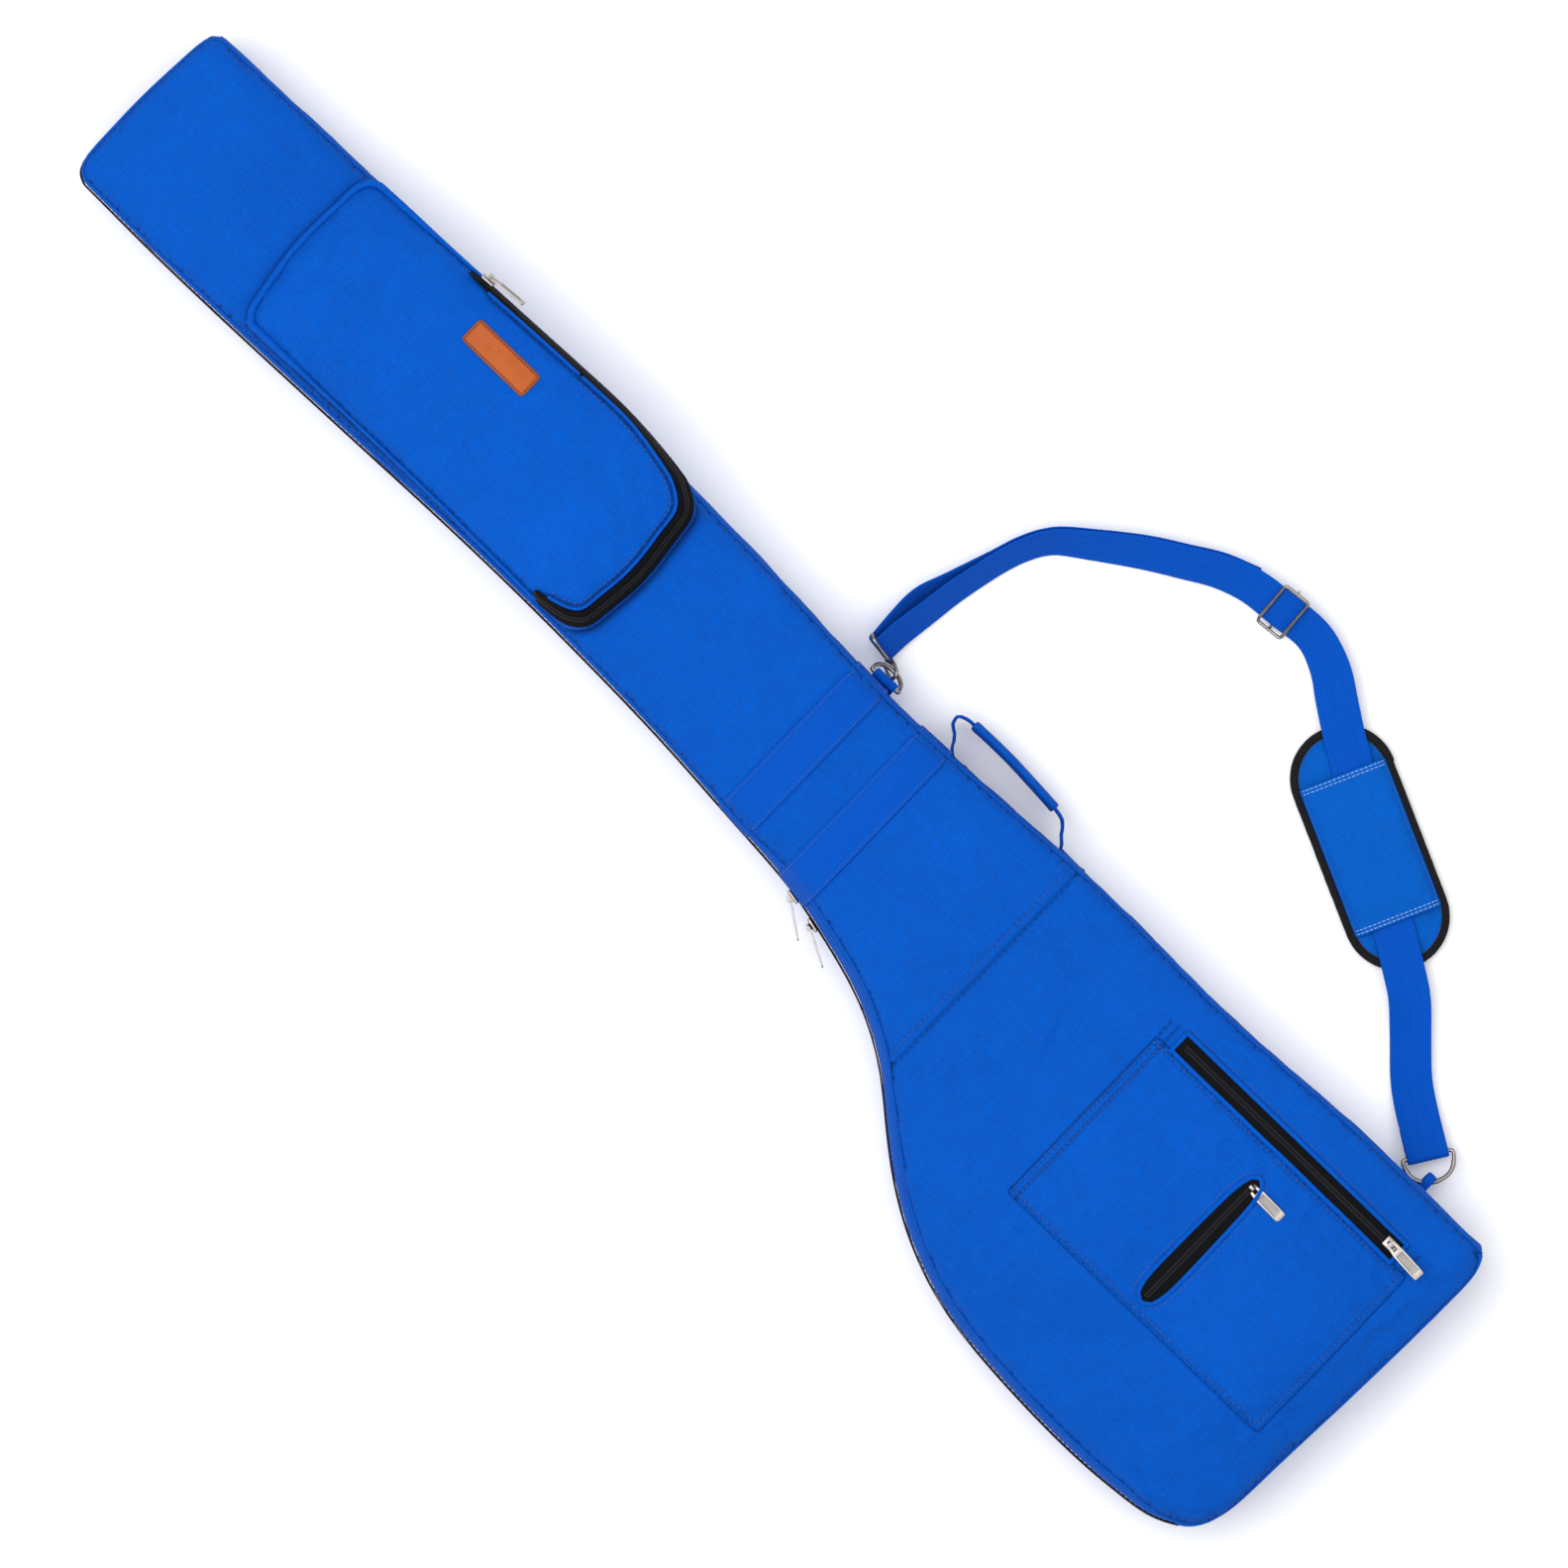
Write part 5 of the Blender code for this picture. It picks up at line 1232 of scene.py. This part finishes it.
def make_patch(lid_top):
    """Leather patch with rounded corners and a stitched border, laid on the lid."""
    low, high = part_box("leather_patch")
    centre = (low + high) / 2
    half_wide, half_long, radius = (high.x - low.x) / 2, (high.y - low.y) / 2, 0.0036

    def loop(inset, steps=7):
        r = max(radius - inset, 0.001)
        points = []
        for sx, sy, start in ((1, 1, 0), (-1, 1, 90), (-1, -1, 180), (1, -1, 270)):
            for k in range(steps):
                turn = math.radians(start + 90 * k / (steps - 1))
                points.append((centre.x + sx * (half_wide - inset - r) + r * math.cos(turn),
                               centre.y + sy * (half_long - inset - r) + r * math.sin(turn)))
        filled = []
        for a, b in zip(points, points[1:] + points[:1]):
            filled += line(a, b, max(1, int(math.dist(a, b) / 0.003)))[:-1]
        return filled

    rim = [lid_top.at(x, y, 0.0009)[0] for x, y in loop(0.0)]
    patch = blanket("leather_label", rim, 0.0012, lambda x, y: lid_top.at(x, y)[0].z + 0.0022)
    limit = Rim(rim)
    sewn = 0.0021       # from the rim in to the stitches
    moved(patch, lambda p, n: n * (-0.0005 * bell(limit.distance(p) - sewn, 0.0005)
                                   - 0.0004 * bell(limit.distance(p), 0.0011)))
    split(patch)
    top = Surface(patch)
    # Painted shade in the stitch groove and at the sunk rim of the patch.
    store_painted_shade(patch, lambda p: 0.45 * bell(limit.distance(p) - sewn, 0.0006)
            + 0.5 * bell(limit.distance(p), 0.0008))
    thick(patch, 0.0015)
    dress(patch, LEATHER, "front_shell", "leather_patch")
    inner = loop(sewn)
    row = top.row(inner + inner[:1], 0.0001)
    stitches("leather_stitches", [row], THREAD_BROWN, "front_shell", 0.0028, 0.00042)


# ---- lower pocket and its zips --------------------------------------------------------------
def make_lower_pocket(front_top):
    """Flat pocket: lined sheet with a hemmed top, sewn down on three sides."""
    low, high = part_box("lower_pocket_panel")
    high.x += 0.0020
    corners = [(high.x, high.y), (low.x, high.y), (low.x, low.y), (high.x, low.y)]
    rim = []
    for a, b in zip(corners, corners[1:] + corners[:1]):
        rim += [front_top.at(x, y, 0.0009)[0] for x, y in line(a, b, 30)[:-1]]
    zip_low, zip_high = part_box("short_zip")

    def margins(x, y):
        """Distance in from the three sewn sides, and from the hemmed top."""
        return min(x - low.x, high.x - x, y - low.y), high.y - y

    def height(x, y):
        full = 1 - math.exp(-(max(min(margins(x, y)) - 0.005, 0) / 0.016) ** 2)
        return front_top.at(x, y)[0].z + (0.0016 + 0.0022 * full)

    panel = blanket("lower_pocket_cover", rim, 0.0046, height)

    def held(p):
        on_zip = zip_low.x < p.x < zip_high.x and abs(p.y - (zip_low.y + zip_high.y) / 2) < 0.010
        return 1.0 if min(margins(p.x, p.y)) < 0.0055 or on_zip else 0.0

    inflated(panel, held, 0.9, 0.012, 0.0025, floor=-0.0004)
    split(panel)

    def relief(p, normal):
        sides, over = margins(p.x, p.y)
        groove = -0.0007 * bell(sides - 0.0045, 0.0012) - 0.0007 * bell(over - 0.0022, 0.0010)
        groove -= 0.0007 * bell(over - 0.0075, 0.0012)
        pucker = 0.0007 * bell(sides - 0.010, 0.008) * wave(p, 0.010, 31.0)
        return normal * (groove + pucker + 0.0006 * wave(p, 0.038, 17.0) * min(sides / 0.02, 1))

    moved(panel, relief)
    surface = Surface(panel)

    # Painted shade in the stitched grooves, along the hem and at the rim.
    def depth(p):
        sides, over = margins(p.x, p.y)
        return (0.5 * bell(sides - 0.0045, 0.0010) + 0.55 * bell(min(sides, over), 0.0014)
                + 0.7 * bell(over - 0.0075, 0.0011) + 0.4 * bell(over - 0.0022, 0.0008))

    store_painted_shade(panel, depth)
    thick(panel, 0.0010)
    dress(panel, POCKET_CLOTH, "front_shell", "lower_pocket_panel", fill=0.3)
    left, right, foot, top = low.x + 0.0045, high.x - 0.0045, low.y + 0.0045, high.y - 0.004
    corners = [(left, top), (left, foot), (right, foot), (right, top)]
    rows = [line(a, b) for a, b in zip(corners, corners[1:])]
    rows += [line((low.x + 0.002, high.y - down), (high.x - 0.002, high.y - down))
             for down in (0.0022, 0.0075)]
    stitches("lower_pocket_stitches", [surface.row(r) for r in rows], THREAD_DARK, "front_shell")
    return surface


def laid_zip(name, node, under, centre_line, half_at, rise):
    """A zip on a surface: tape, coil in two rows, a rolled lip along each side and its stitches."""
    points = [under.at(x, y, rise)[0] for x, y in centre_line]
    normals = [under.at(x, y)[1] for x, y in centre_line]
    count = len(points)
    for _ in range(30):
        for values in (points, normals):
            old = [v.copy() for v in values]
            for i in range(1, count - 1):
                values[i] = (old[i - 1] + old[i] * 2 + old[i + 1]) / 4
    normals = [v.normalized() for v in normals]
    across = [tangent(points, i).cross(normals[i]).normalized() for i in range(count)]
    halves = [half_at(i / (count - 1)) for i in range(count)]
    profile = ((-1.0, 0.0002), (-0.72, 0.0004), (-0.40, 0.0005), (-0.26, 0.0008),
               (0.26, 0.0008), (0.40, 0.0005), (0.72, 0.0004), (1.0, 0.0002))  # share of half width, height
    vertices = [points[i] + across[i] * halves[i] * share + normals[i] * height
                for i in range(count) for share, height in profile]
    tape = from_data(name + "_tape", vertices, sheet_faces(count, len(profile)))
    dress(thick(tape, TAPE_THICK), TAPE, "front_shell", node)

    def lip(label, path):
        dress(tube(name + "_lip_" + label, path, 0.0016, 10, flat=0.7), POCKET_CLOTH, "front_shell")

    track = [points[i] + normals[i] * 0.0009 for i in range(2, count - 2)]
    for side, way in (("left", -1), ("right", 1)):
        coil(name + "_coil_" + side, track, lambda p, a: a.cross(UP).normalized(), lambda p, a: UP,
             "front_shell", way * 0.00120, 0.00105, way * 0.25)
        lip(side, [points[i] + across[i] * way * (halves[i] + 0.0006) + normals[i] * 0.0008
                   for i in range(count)])
        spots = [points[i] + across[i] * way * (halves[i] + 0.0045) for i in range(count)]
        row = under.row([(p.x, p.y) for p in spots], 0.0001)
        stitches(name + "_stitches_" + side, [row], THREAD_DARK, "front_shell")
    for label, end, way in (("start", 0, -1), ("end", count - 1, 1)):
        lip(label, [points[end] + across[end] * f * (halves[end] + 0.0012)
                    + tangent(points, end) * way * 0.0006 + normals[end] * 0.0008
                    for f in (-1, -0.5, 0, 0.5, 1)])


# ---- metal pieces ---------------------------------------------------------------------------
def polished(name, node, width, body):
    """A CAD metal piece with small rounded edges."""
    bm = welded(node)
    bmesh.ops.dissolve_limit(bm, angle_limit=0.03, verts=bm.verts[:], edges=bm.edges[:])
    made = new_piece(name, bm, False)
    applied(made, "BEVEL", width=width, segments=3, limit_method="ANGLE", angle_limit=0.5,
            use_clamp_overlap=True, harden_normals=False)
    made.data.shade_smooth()
    made.data.set_sharp_from_angle(angle=0.7)
    dress(made, NICKEL, body, node)


def make_pull(zip_name):
    """Zip pull: bent plate with a slot for the bridge and a sunk panel on each face."""
    joint = JOINTS[zip_name + "_pull_turn"]
    pivot = Vector(joint["pos_m"])
    axis = Vector(joint["axis"]).normalized()
    node = zip_name + "_pull"
    far = max((v.co for v in NODES[node].data.vertices), key=lambda p: (p - pivot).length)
    along = far - pivot
    along = (along - axis * along.dot(axis)).normalized()
    normal = along.cross(axis).normalized()
    if normal.dot(UP) < 0 and "main" not in zip_name:
        normal = -normal
    us = [-0.0008, 0.0008, 0.0030, 0.0052, 0.0070, 0.0084, 0.0092, 0.0170, 0.0256, 0.0264, 0.0284, 0.0300]
    vs = [-1.0, -0.66, -0.60, -0.40, 0.40, 0.60, 0.66, 1.0]
    half = 0.0042

    def wide(u):
        """Half width of the plate at u from the pivot."""
        if u < 0.0022:
            return 0.0029 + (u + 0.0008) / 0.003 * 0.0005
        if u < 0.0075:
            return 0.0034 + (u - 0.0022) / 0.0053 * 0.0008
        return half if u < 0.0290 else half * 0.86

    def sunk_panel_shade(p):
        """Painted shade in the sunk panel of the pull at p."""
        u, v = (p - pivot).dot(along), (p - pivot).dot(axis)
        return 0.5 if 0.0088 < u < 0.0260 and abs(v) < wide(u) * 0.64 else 0.0

    vertices = []
    for u in us:
        for v in vs:
            sunk = 0.0090 < u < 0.0258 and abs(v) < 0.63
            bend = 0.0004 * math.sin(math.pi * min(max(u / 0.03, 0), 1))
            height = 0.0006 - (0.0003 if sunk else 0.0) + bend
            vertices.append(pivot + along * u + axis * v * wide(u) + normal * height)

    def in_slot(first):
        i, k = divmod(first, len(vs))
        return 0.0007 < us[i] and us[i + 1] < 0.0053 and abs(vs[k] + vs[k + 1]) < 0.1

    faces = [face for face in sheet_faces(len(us), len(vs)) if not in_slot(face[0])]
    pull = from_data(zip_name + "_puller", vertices, faces)
    if pull.data.polygons[0].normal.dot(normal) < 0:
        pull.data.flip_normals()
    thick(pull, 0.0012)
    applied(pull, "BEVEL", width=0.00018, segments=2, limit_method="ANGLE", angle_limit=0.6)
    split(pull)
    store_painted_shade(pull, sunk_panel_shade)
    dress(pull, NICKEL, node, node)


def make_metal():
    """Sliders, pulls, rings, the snap hook and the three-bar adjuster."""
    for zip_name in ("long_zip", "short_zip", "pocket_zip", "main_zip_upper_end", "main_zip_lower_end"):
        polished(zip_name + "_runner", zip_name + "_slider", 0.00035, zip_name + "_slider")
        make_pull(zip_name)
    for name, node, body in (("upper_ring", "d_ring_upper", "strap"), ("lower_ring", "d_ring_lower", "strap"),
                             ("hook_frame", "hook_eye", "strap"), ("hook_body", "snap_hook", "snap_hook"),
                             ("hook_spring_gate", "hook_gate", "hook_gate")):
        whole(name, node, NICKEL, body)
    glide = new_piece("glide", welded("tri_glide"))
    applied(glide, "REMESH", mode="VOXEL", voxel_size=0.00038)
    applied(glide, "SMOOTH", iterations=6, factor=0.5)
    glide.data.shade_smooth()
    dress(glide, NICKEL, "tri_glide", "tri_glide")


# ---- strap, handle and tabs -----------------------------------------------------------------
def across_stitches(name, first, last, body, material, lift):
    """Stitch rows across the webbing on both faces, with a zigzag between them."""
    made = []
    count = 10
    for face in (1, -1):
        for c, s, n, h in (first, last):
            made.append([(c + s * h * f + n * face * lift, n * face) for f in (-0.85, 0, 0.85)])
        zigzag = []
        for k in range(count + 1):
            c, s, n, h = first if k % 2 else last
            zigzag.append((c + s * h * (-0.85 + 1.7 * k / count) + n * face * lift, n * face))
        made.append(zigzag)
    stitches(name, made, material, body, 0.0030, 0.00034, slot="blue_webbing")


def carried_on(rows, goal, count=4):
    """A strap's rows carried on past the last one to a point, where it is sewn down."""
    start, side, normal, half = rows[-1]
    along = (goal - start).normalized()
    facing = along.cross(side).normalized()
    facing = facing if facing.dot(normal) > 0 else -facing
    return rows + [(start.lerp(goal, k / count), side, facing, half * (1 + 0.25 * k / count))
                   for k in range(1, count + 1)]


def make_straps():
    """Shoulder strap, ring tabs and carrying handle, each along the middle of its CAD strip."""
    rows = strip_rows("strap_web", 0.030)
    webbing("strap_webbing", "strap_web", rows, "strap", 0.0016, 9)
    ring = sum(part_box("d_ring_lower"), Vector()) / 2
    near = min(range(len(rows)), key=lambda i: (rows[i][0] - ring).length)
    start = max(near - 12, 0)
    across_stitches("strap_end_stitches", rows[start], rows[min(start + 4, len(rows) - 1)], "strap",
                    THREAD_LIGHT, 0.0010)
    for name, node, width, thickness, ribs in (
            ("ring_tab_webbing", "d_ring_tab", 0.0196, 0.0016, 7),
            ("handle_root_webbing_upper", "handle_root_upper", 0.0230, 0.0020, 8),
            ("handle_root_webbing_lower", "handle_root_lower", 0.0230, 0.0020, 8)):
        tab = strip_rows(node, width, 0.002)
        webbing(name, node, tab, "root", thickness, ribs)
        spots = tab[:2] if abs(tab[0][0].x) < abs(tab[-1][0].x) else tab[-2:]
        across_stitches(name + "_stitches", *spots, "root", THREAD_DARK, thickness / 2 + 0.0001)
    whole("ring_loop", "ring_tab_lower", WEBBING_PLAIN, "root")
    rows = strip_rows("handle_web", 0.0083, 0.003)
    for root in ("handle_root_upper", "handle_root_lower"):
        goal = max(strip_rows(root, 0.0230, 0.002), key=lambda row: row[0].x)[0]
        if (goal - rows[0][0]).length < (goal - rows[-1][0]).length:
            rows = carried_on(rows[::-1], goal)[::-1]
        else:
            rows = carried_on(rows, goal)
    webbing("handle_webbing", "handle_web", rows, "handle", 0.0024, 7, 0.00028)
    whole("handle_wrap", "handle_grip", CLOTH, "handle")


# ---- shoulder pad ---------------------------------------------------------------------------
PAD_CENTRE = Vector((0.2235, -0.3660, 0))
PAD_ALONG = Vector((-0.420, -0.9075, 0)).normalized()
PAD_ACROSS = Vector((-PAD_ALONG.y, PAD_ALONG.x, 0))
PAD_LONG = 0.0910
PAD_WIDE = 0.0385


def pad_loop(inset, z, steps=16):
    """Outline of the pad, a rectangle with half-round ends."""
    long, wide = PAD_LONG - inset, PAD_WIDE - inset
    points = []
    for sign, start in ((1, -90), (-1, 90)):
        for k in range(steps + 1):
            turn = math.radians(start + 180 * k / steps)
            points.append(PAD_CENTRE + PAD_ALONG * (sign * (long - wide) + wide * math.cos(turn))
                          + PAD_ACROSS * wide * math.sin(turn) + Vector((0, 0, z)))
    return points


def pad_place(p):
    """Distances along and across the pad from its centre."""
    flat = Vector((p.x, p.y, 0)) - PAD_CENTRE
    return flat.dot(PAD_ALONG), flat.dot(PAD_ACROSS)


def make_pad():
    """Shoulder pad: soft cushion on a flat backing, with a bound edge and a sleeve for the strap."""
    low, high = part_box("pad_base")
    middle_z = (low.z + high.z) / 2
    edge = Rim(pad_loop(0.0060, 0))

    def crown(x, y):
        inner = edge.distance(Vector((x, y, 0)))
        return high.z - 0.0004 + 0.0016 * (1 - math.exp(-(inner / 0.012) ** 2))

    outline = pad_loop(0.0030, high.z - 0.0016)
    top = blanket("pad_cushion", outline, 0.0040, crown)
    rim = Rim(outline)
    inflated(top, lambda p: 1.0 if rim.distance(p) < 0.0030 or abs(pad_place(p)[0]) < 0.050 else 0.0,
             2.0, 0.014, 0.0022)
    split(top)
    moved(top, lambda p, n: n * 0.0005 * wave(p, 0.011, 2.2) * min(rim.distance(p) / 0.006, 1))
    thick(top, 0.0009)
    dress(top, PAD_CLOTH, "pad", "pad_base", fill=0.7)
    under = blanket("pad_backing", pad_loop(0.0030, 0.0008), 0.006, lambda x, y: 0.0006)
    thick(under, 0.0008, 1.0)
    dress(under, BINDING, "pad", fill=0.5)
    loop = even(pad_loop(0.0040, middle_z + 0.0002), 0.0030, closed=True)
    binding = tube("pad_edge_binding", loop, 0.0034, 14, closed=True, flat=1.55)
    moved(binding, lambda p, n: n * 0.00025 * wave(p, 0.006, 8.8))
    moved(binding, lambda p, n: Vector((0, 0, max(0.0002 - p.z, 0.0))))
    dress(binding, BINDING, "pad", "pad_binding")
    corner = [p for p in pad_loop(0.0034, middle_z + 0.0002)
              if pad_place(p)[0] < -0.010 and pad_place(p)[1] > 0.0]
    dress(tube("pad_binding_lap", even(corner[:6], 0.003), 0.0037, 14, flat=1.28), BINDING, "pad")
    inner = even(pad_loop(0.0066, high.z + 0.0008), 0.003, closed=True)
    stitches("pad_binding_stitches", [[(p, UP) for p in inner + inner[:1]]], BINDING_THREAD, "pad", 0.0030)
    make_sleeve(high.z)


def make_sleeve(base):
    """Sleeve over the strap: arched sheet, hemmed at both open ends and sewn down along its sides."""
    half_long, half_wide, peak = 0.0560, 0.0325, 0.0050
    columns, lines_along = 60, 44

    def spot(f, g):
        """Plan place at f along and g across the sleeve, both from -1 to 1."""
        return PAD_CENTRE + PAD_ALONG * half_long * f + PAD_ACROSS * half_wide * g

    def height(f, g):
        edge = 1 - abs(g)
        arch = peak * (1 - math.exp(-(edge / 0.13) ** 2))
        hem = 0.0008 * bell(1 - abs(f) - 0.035, 0.030)
        groove = -0.0005 * bell(1 - abs(f) - 0.075, 0.008) - 0.0005 * bell(1 - abs(f) - 0.030, 0.007)
        sewn = -0.0004 * bell(edge - 0.055, 0.020)
        return base + 0.0012 + arch + hem + groove + sewn

    vertices = []
    for i in range(columns + 1):
        f = -1 + 2 * i / columns
        for k in range(lines_along + 1):
            g = -1 + 2 * k / lines_along
            p = spot(f, g)
            soft = 0.0005 * wave(p, 0.020, 14.0) + 0.0003 * wave(p, 0.008, 3.0)
            vertices.append(Vector((p.x, p.y, height(f, g) + soft * min((1 - abs(g)) * 6, 1))))
    sleeve = face_up(from_data("pad_sleeve_cover", vertices, sheet_faces(columns + 1, lines_along + 1)))
    split(sleeve)
    surface = Surface(sleeve)
    thick(sleeve, 0.0009)
    dress(sleeve, PAD_CLOTH, "pad", "pad_sleeve", fill=0.3)

    def row(start, end):
        return surface.row([spot(f, g).to_2d() for f, g in line(start, end, 30)], 0.0001)

    hems = [row((f, -0.96), (f, 0.96)) for f in (-0.970, -0.925, 0.925, 0.970)]
    stitches("pad_hem_stitches", hems, THREAD_LIGHT, "pad", 0.0034)
    sides = [row((-0.96, g), (0.96, g)) for g in (-0.945, 0.945)]
    stitches("pad_side_stitches", sides, THREAD_DARK, "pad", 0.0034)


def finish_inside():
    """Lining and cut foam keep their CAD shape and get their own weave and cells."""
    for name, obj in NODES.items():
        if name.endswith("_lining"):
            paint(obj, LINING)
        elif name.endswith("_foam"):
            paint(obj, FOAM)


# ---- studio ---------------------------------------------------------------------------------
def make_studio():
    """Pale floor, two large soft lights and an even pale sky; the camera looks straight down."""
    floor = from_data("studio_floor", [(-6, -6, 0), (6, -6, 0), (6, 6, 0), (-6, 6, 0)], [(0, 1, 2, 3)], False)
    floor.location.z = -0.0008
    paper = Shader("studio_paper", (0.93, 0.93, 0.93), 0.9)
    floor.data.materials.append(paper.material)
    floor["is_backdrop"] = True
    world = bpy.data.worlds.new("studio_sky")
    world.use_nodes = True
    world.node_tree.nodes["Background"].inputs["Color"].default_value = (1, 1, 1, 1)
    world.node_tree.nodes["Background"].inputs["Strength"].default_value = 0.66
    bpy.context.scene.world = world
    for name, place, size, power in (("key_light", (-0.6, 0.7, 2.9), 2.8, 80.0),
                                     ("fill_light", (0.9, -0.8, 3.0), 2.8, 26.0)):
        light = bpy.data.lights.new(name, "AREA")
        light.energy = power
        light.size = size
        lamp = bpy.data.objects.new(name, light)
        lamp.location = place
        lamp.rotation_euler = (Vector((0, 0, 0)) - Vector(place)).to_track_quat("-Z", "Y").to_euler()
        bpy.context.scene.collection.objects.link(lamp)
    bpy.context.scene.view_settings.view_transform = "Standard"


def make_camera():
    """Straight above the bag, turned so that its narrow end is at the top left."""
    across = Vector((0.695, -0.719, 0)).normalized()
    height, field = 6.0, 1.103
    lens = bpy.data.cameras.new("camera")
    lens.sensor_width = 36.0
    lens.lens = 36.0 * (height - 0.06) / field
    camera = bpy.data.objects.new("camera", lens)
    matrix = Matrix((across, UP.cross(across), UP)).transposed().to_4x4()
    matrix.translation = Vector((-0.0331, -0.0355, height))
    camera.matrix_world = matrix
    bpy.context.scene.collection.objects.link(camera)
    bpy.context.scene.camera = camera


make_camera()
make_studio()
finish_inside()
front_top, front_edge = make_front()
walls = make_walls()
make_main_zip(walls)
make_piping(front_edge)
make_bands(front_top, walls)
make_patch(make_pocket())
pocket_top = make_lower_pocket(front_top)
zip_low, zip_high = LONG_ZIP_BOX
middle = (zip_low.x + zip_high.x) / 2
run = line((middle, zip_high.y), (middle, zip_low.y), 70)
laid_zip("long_run", "long_zip", front_top, run, lambda t: 0.0080, 0.0012)
zip_low, zip_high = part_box("short_zip")
middle = (zip_low.y + zip_high.y) / 2
run = line((zip_low.x - 0.006, middle), (zip_high.x + 0.002, middle), 48)
laid_zip("short_run", "short_zip", pocket_top, run,
         lambda t: (0.0014 + 0.0082 * (1 - abs(2 * t - 1) ** 6) ** 0.5) * (1 - 0.20 * t * t), 0.0001)
make_metal()
make_straps()
make_pad()

boxes = {"cad": CAD_BOX, "visual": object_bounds()}
{key: [list(corner) for corner in box] for key, box in boxes.items()}
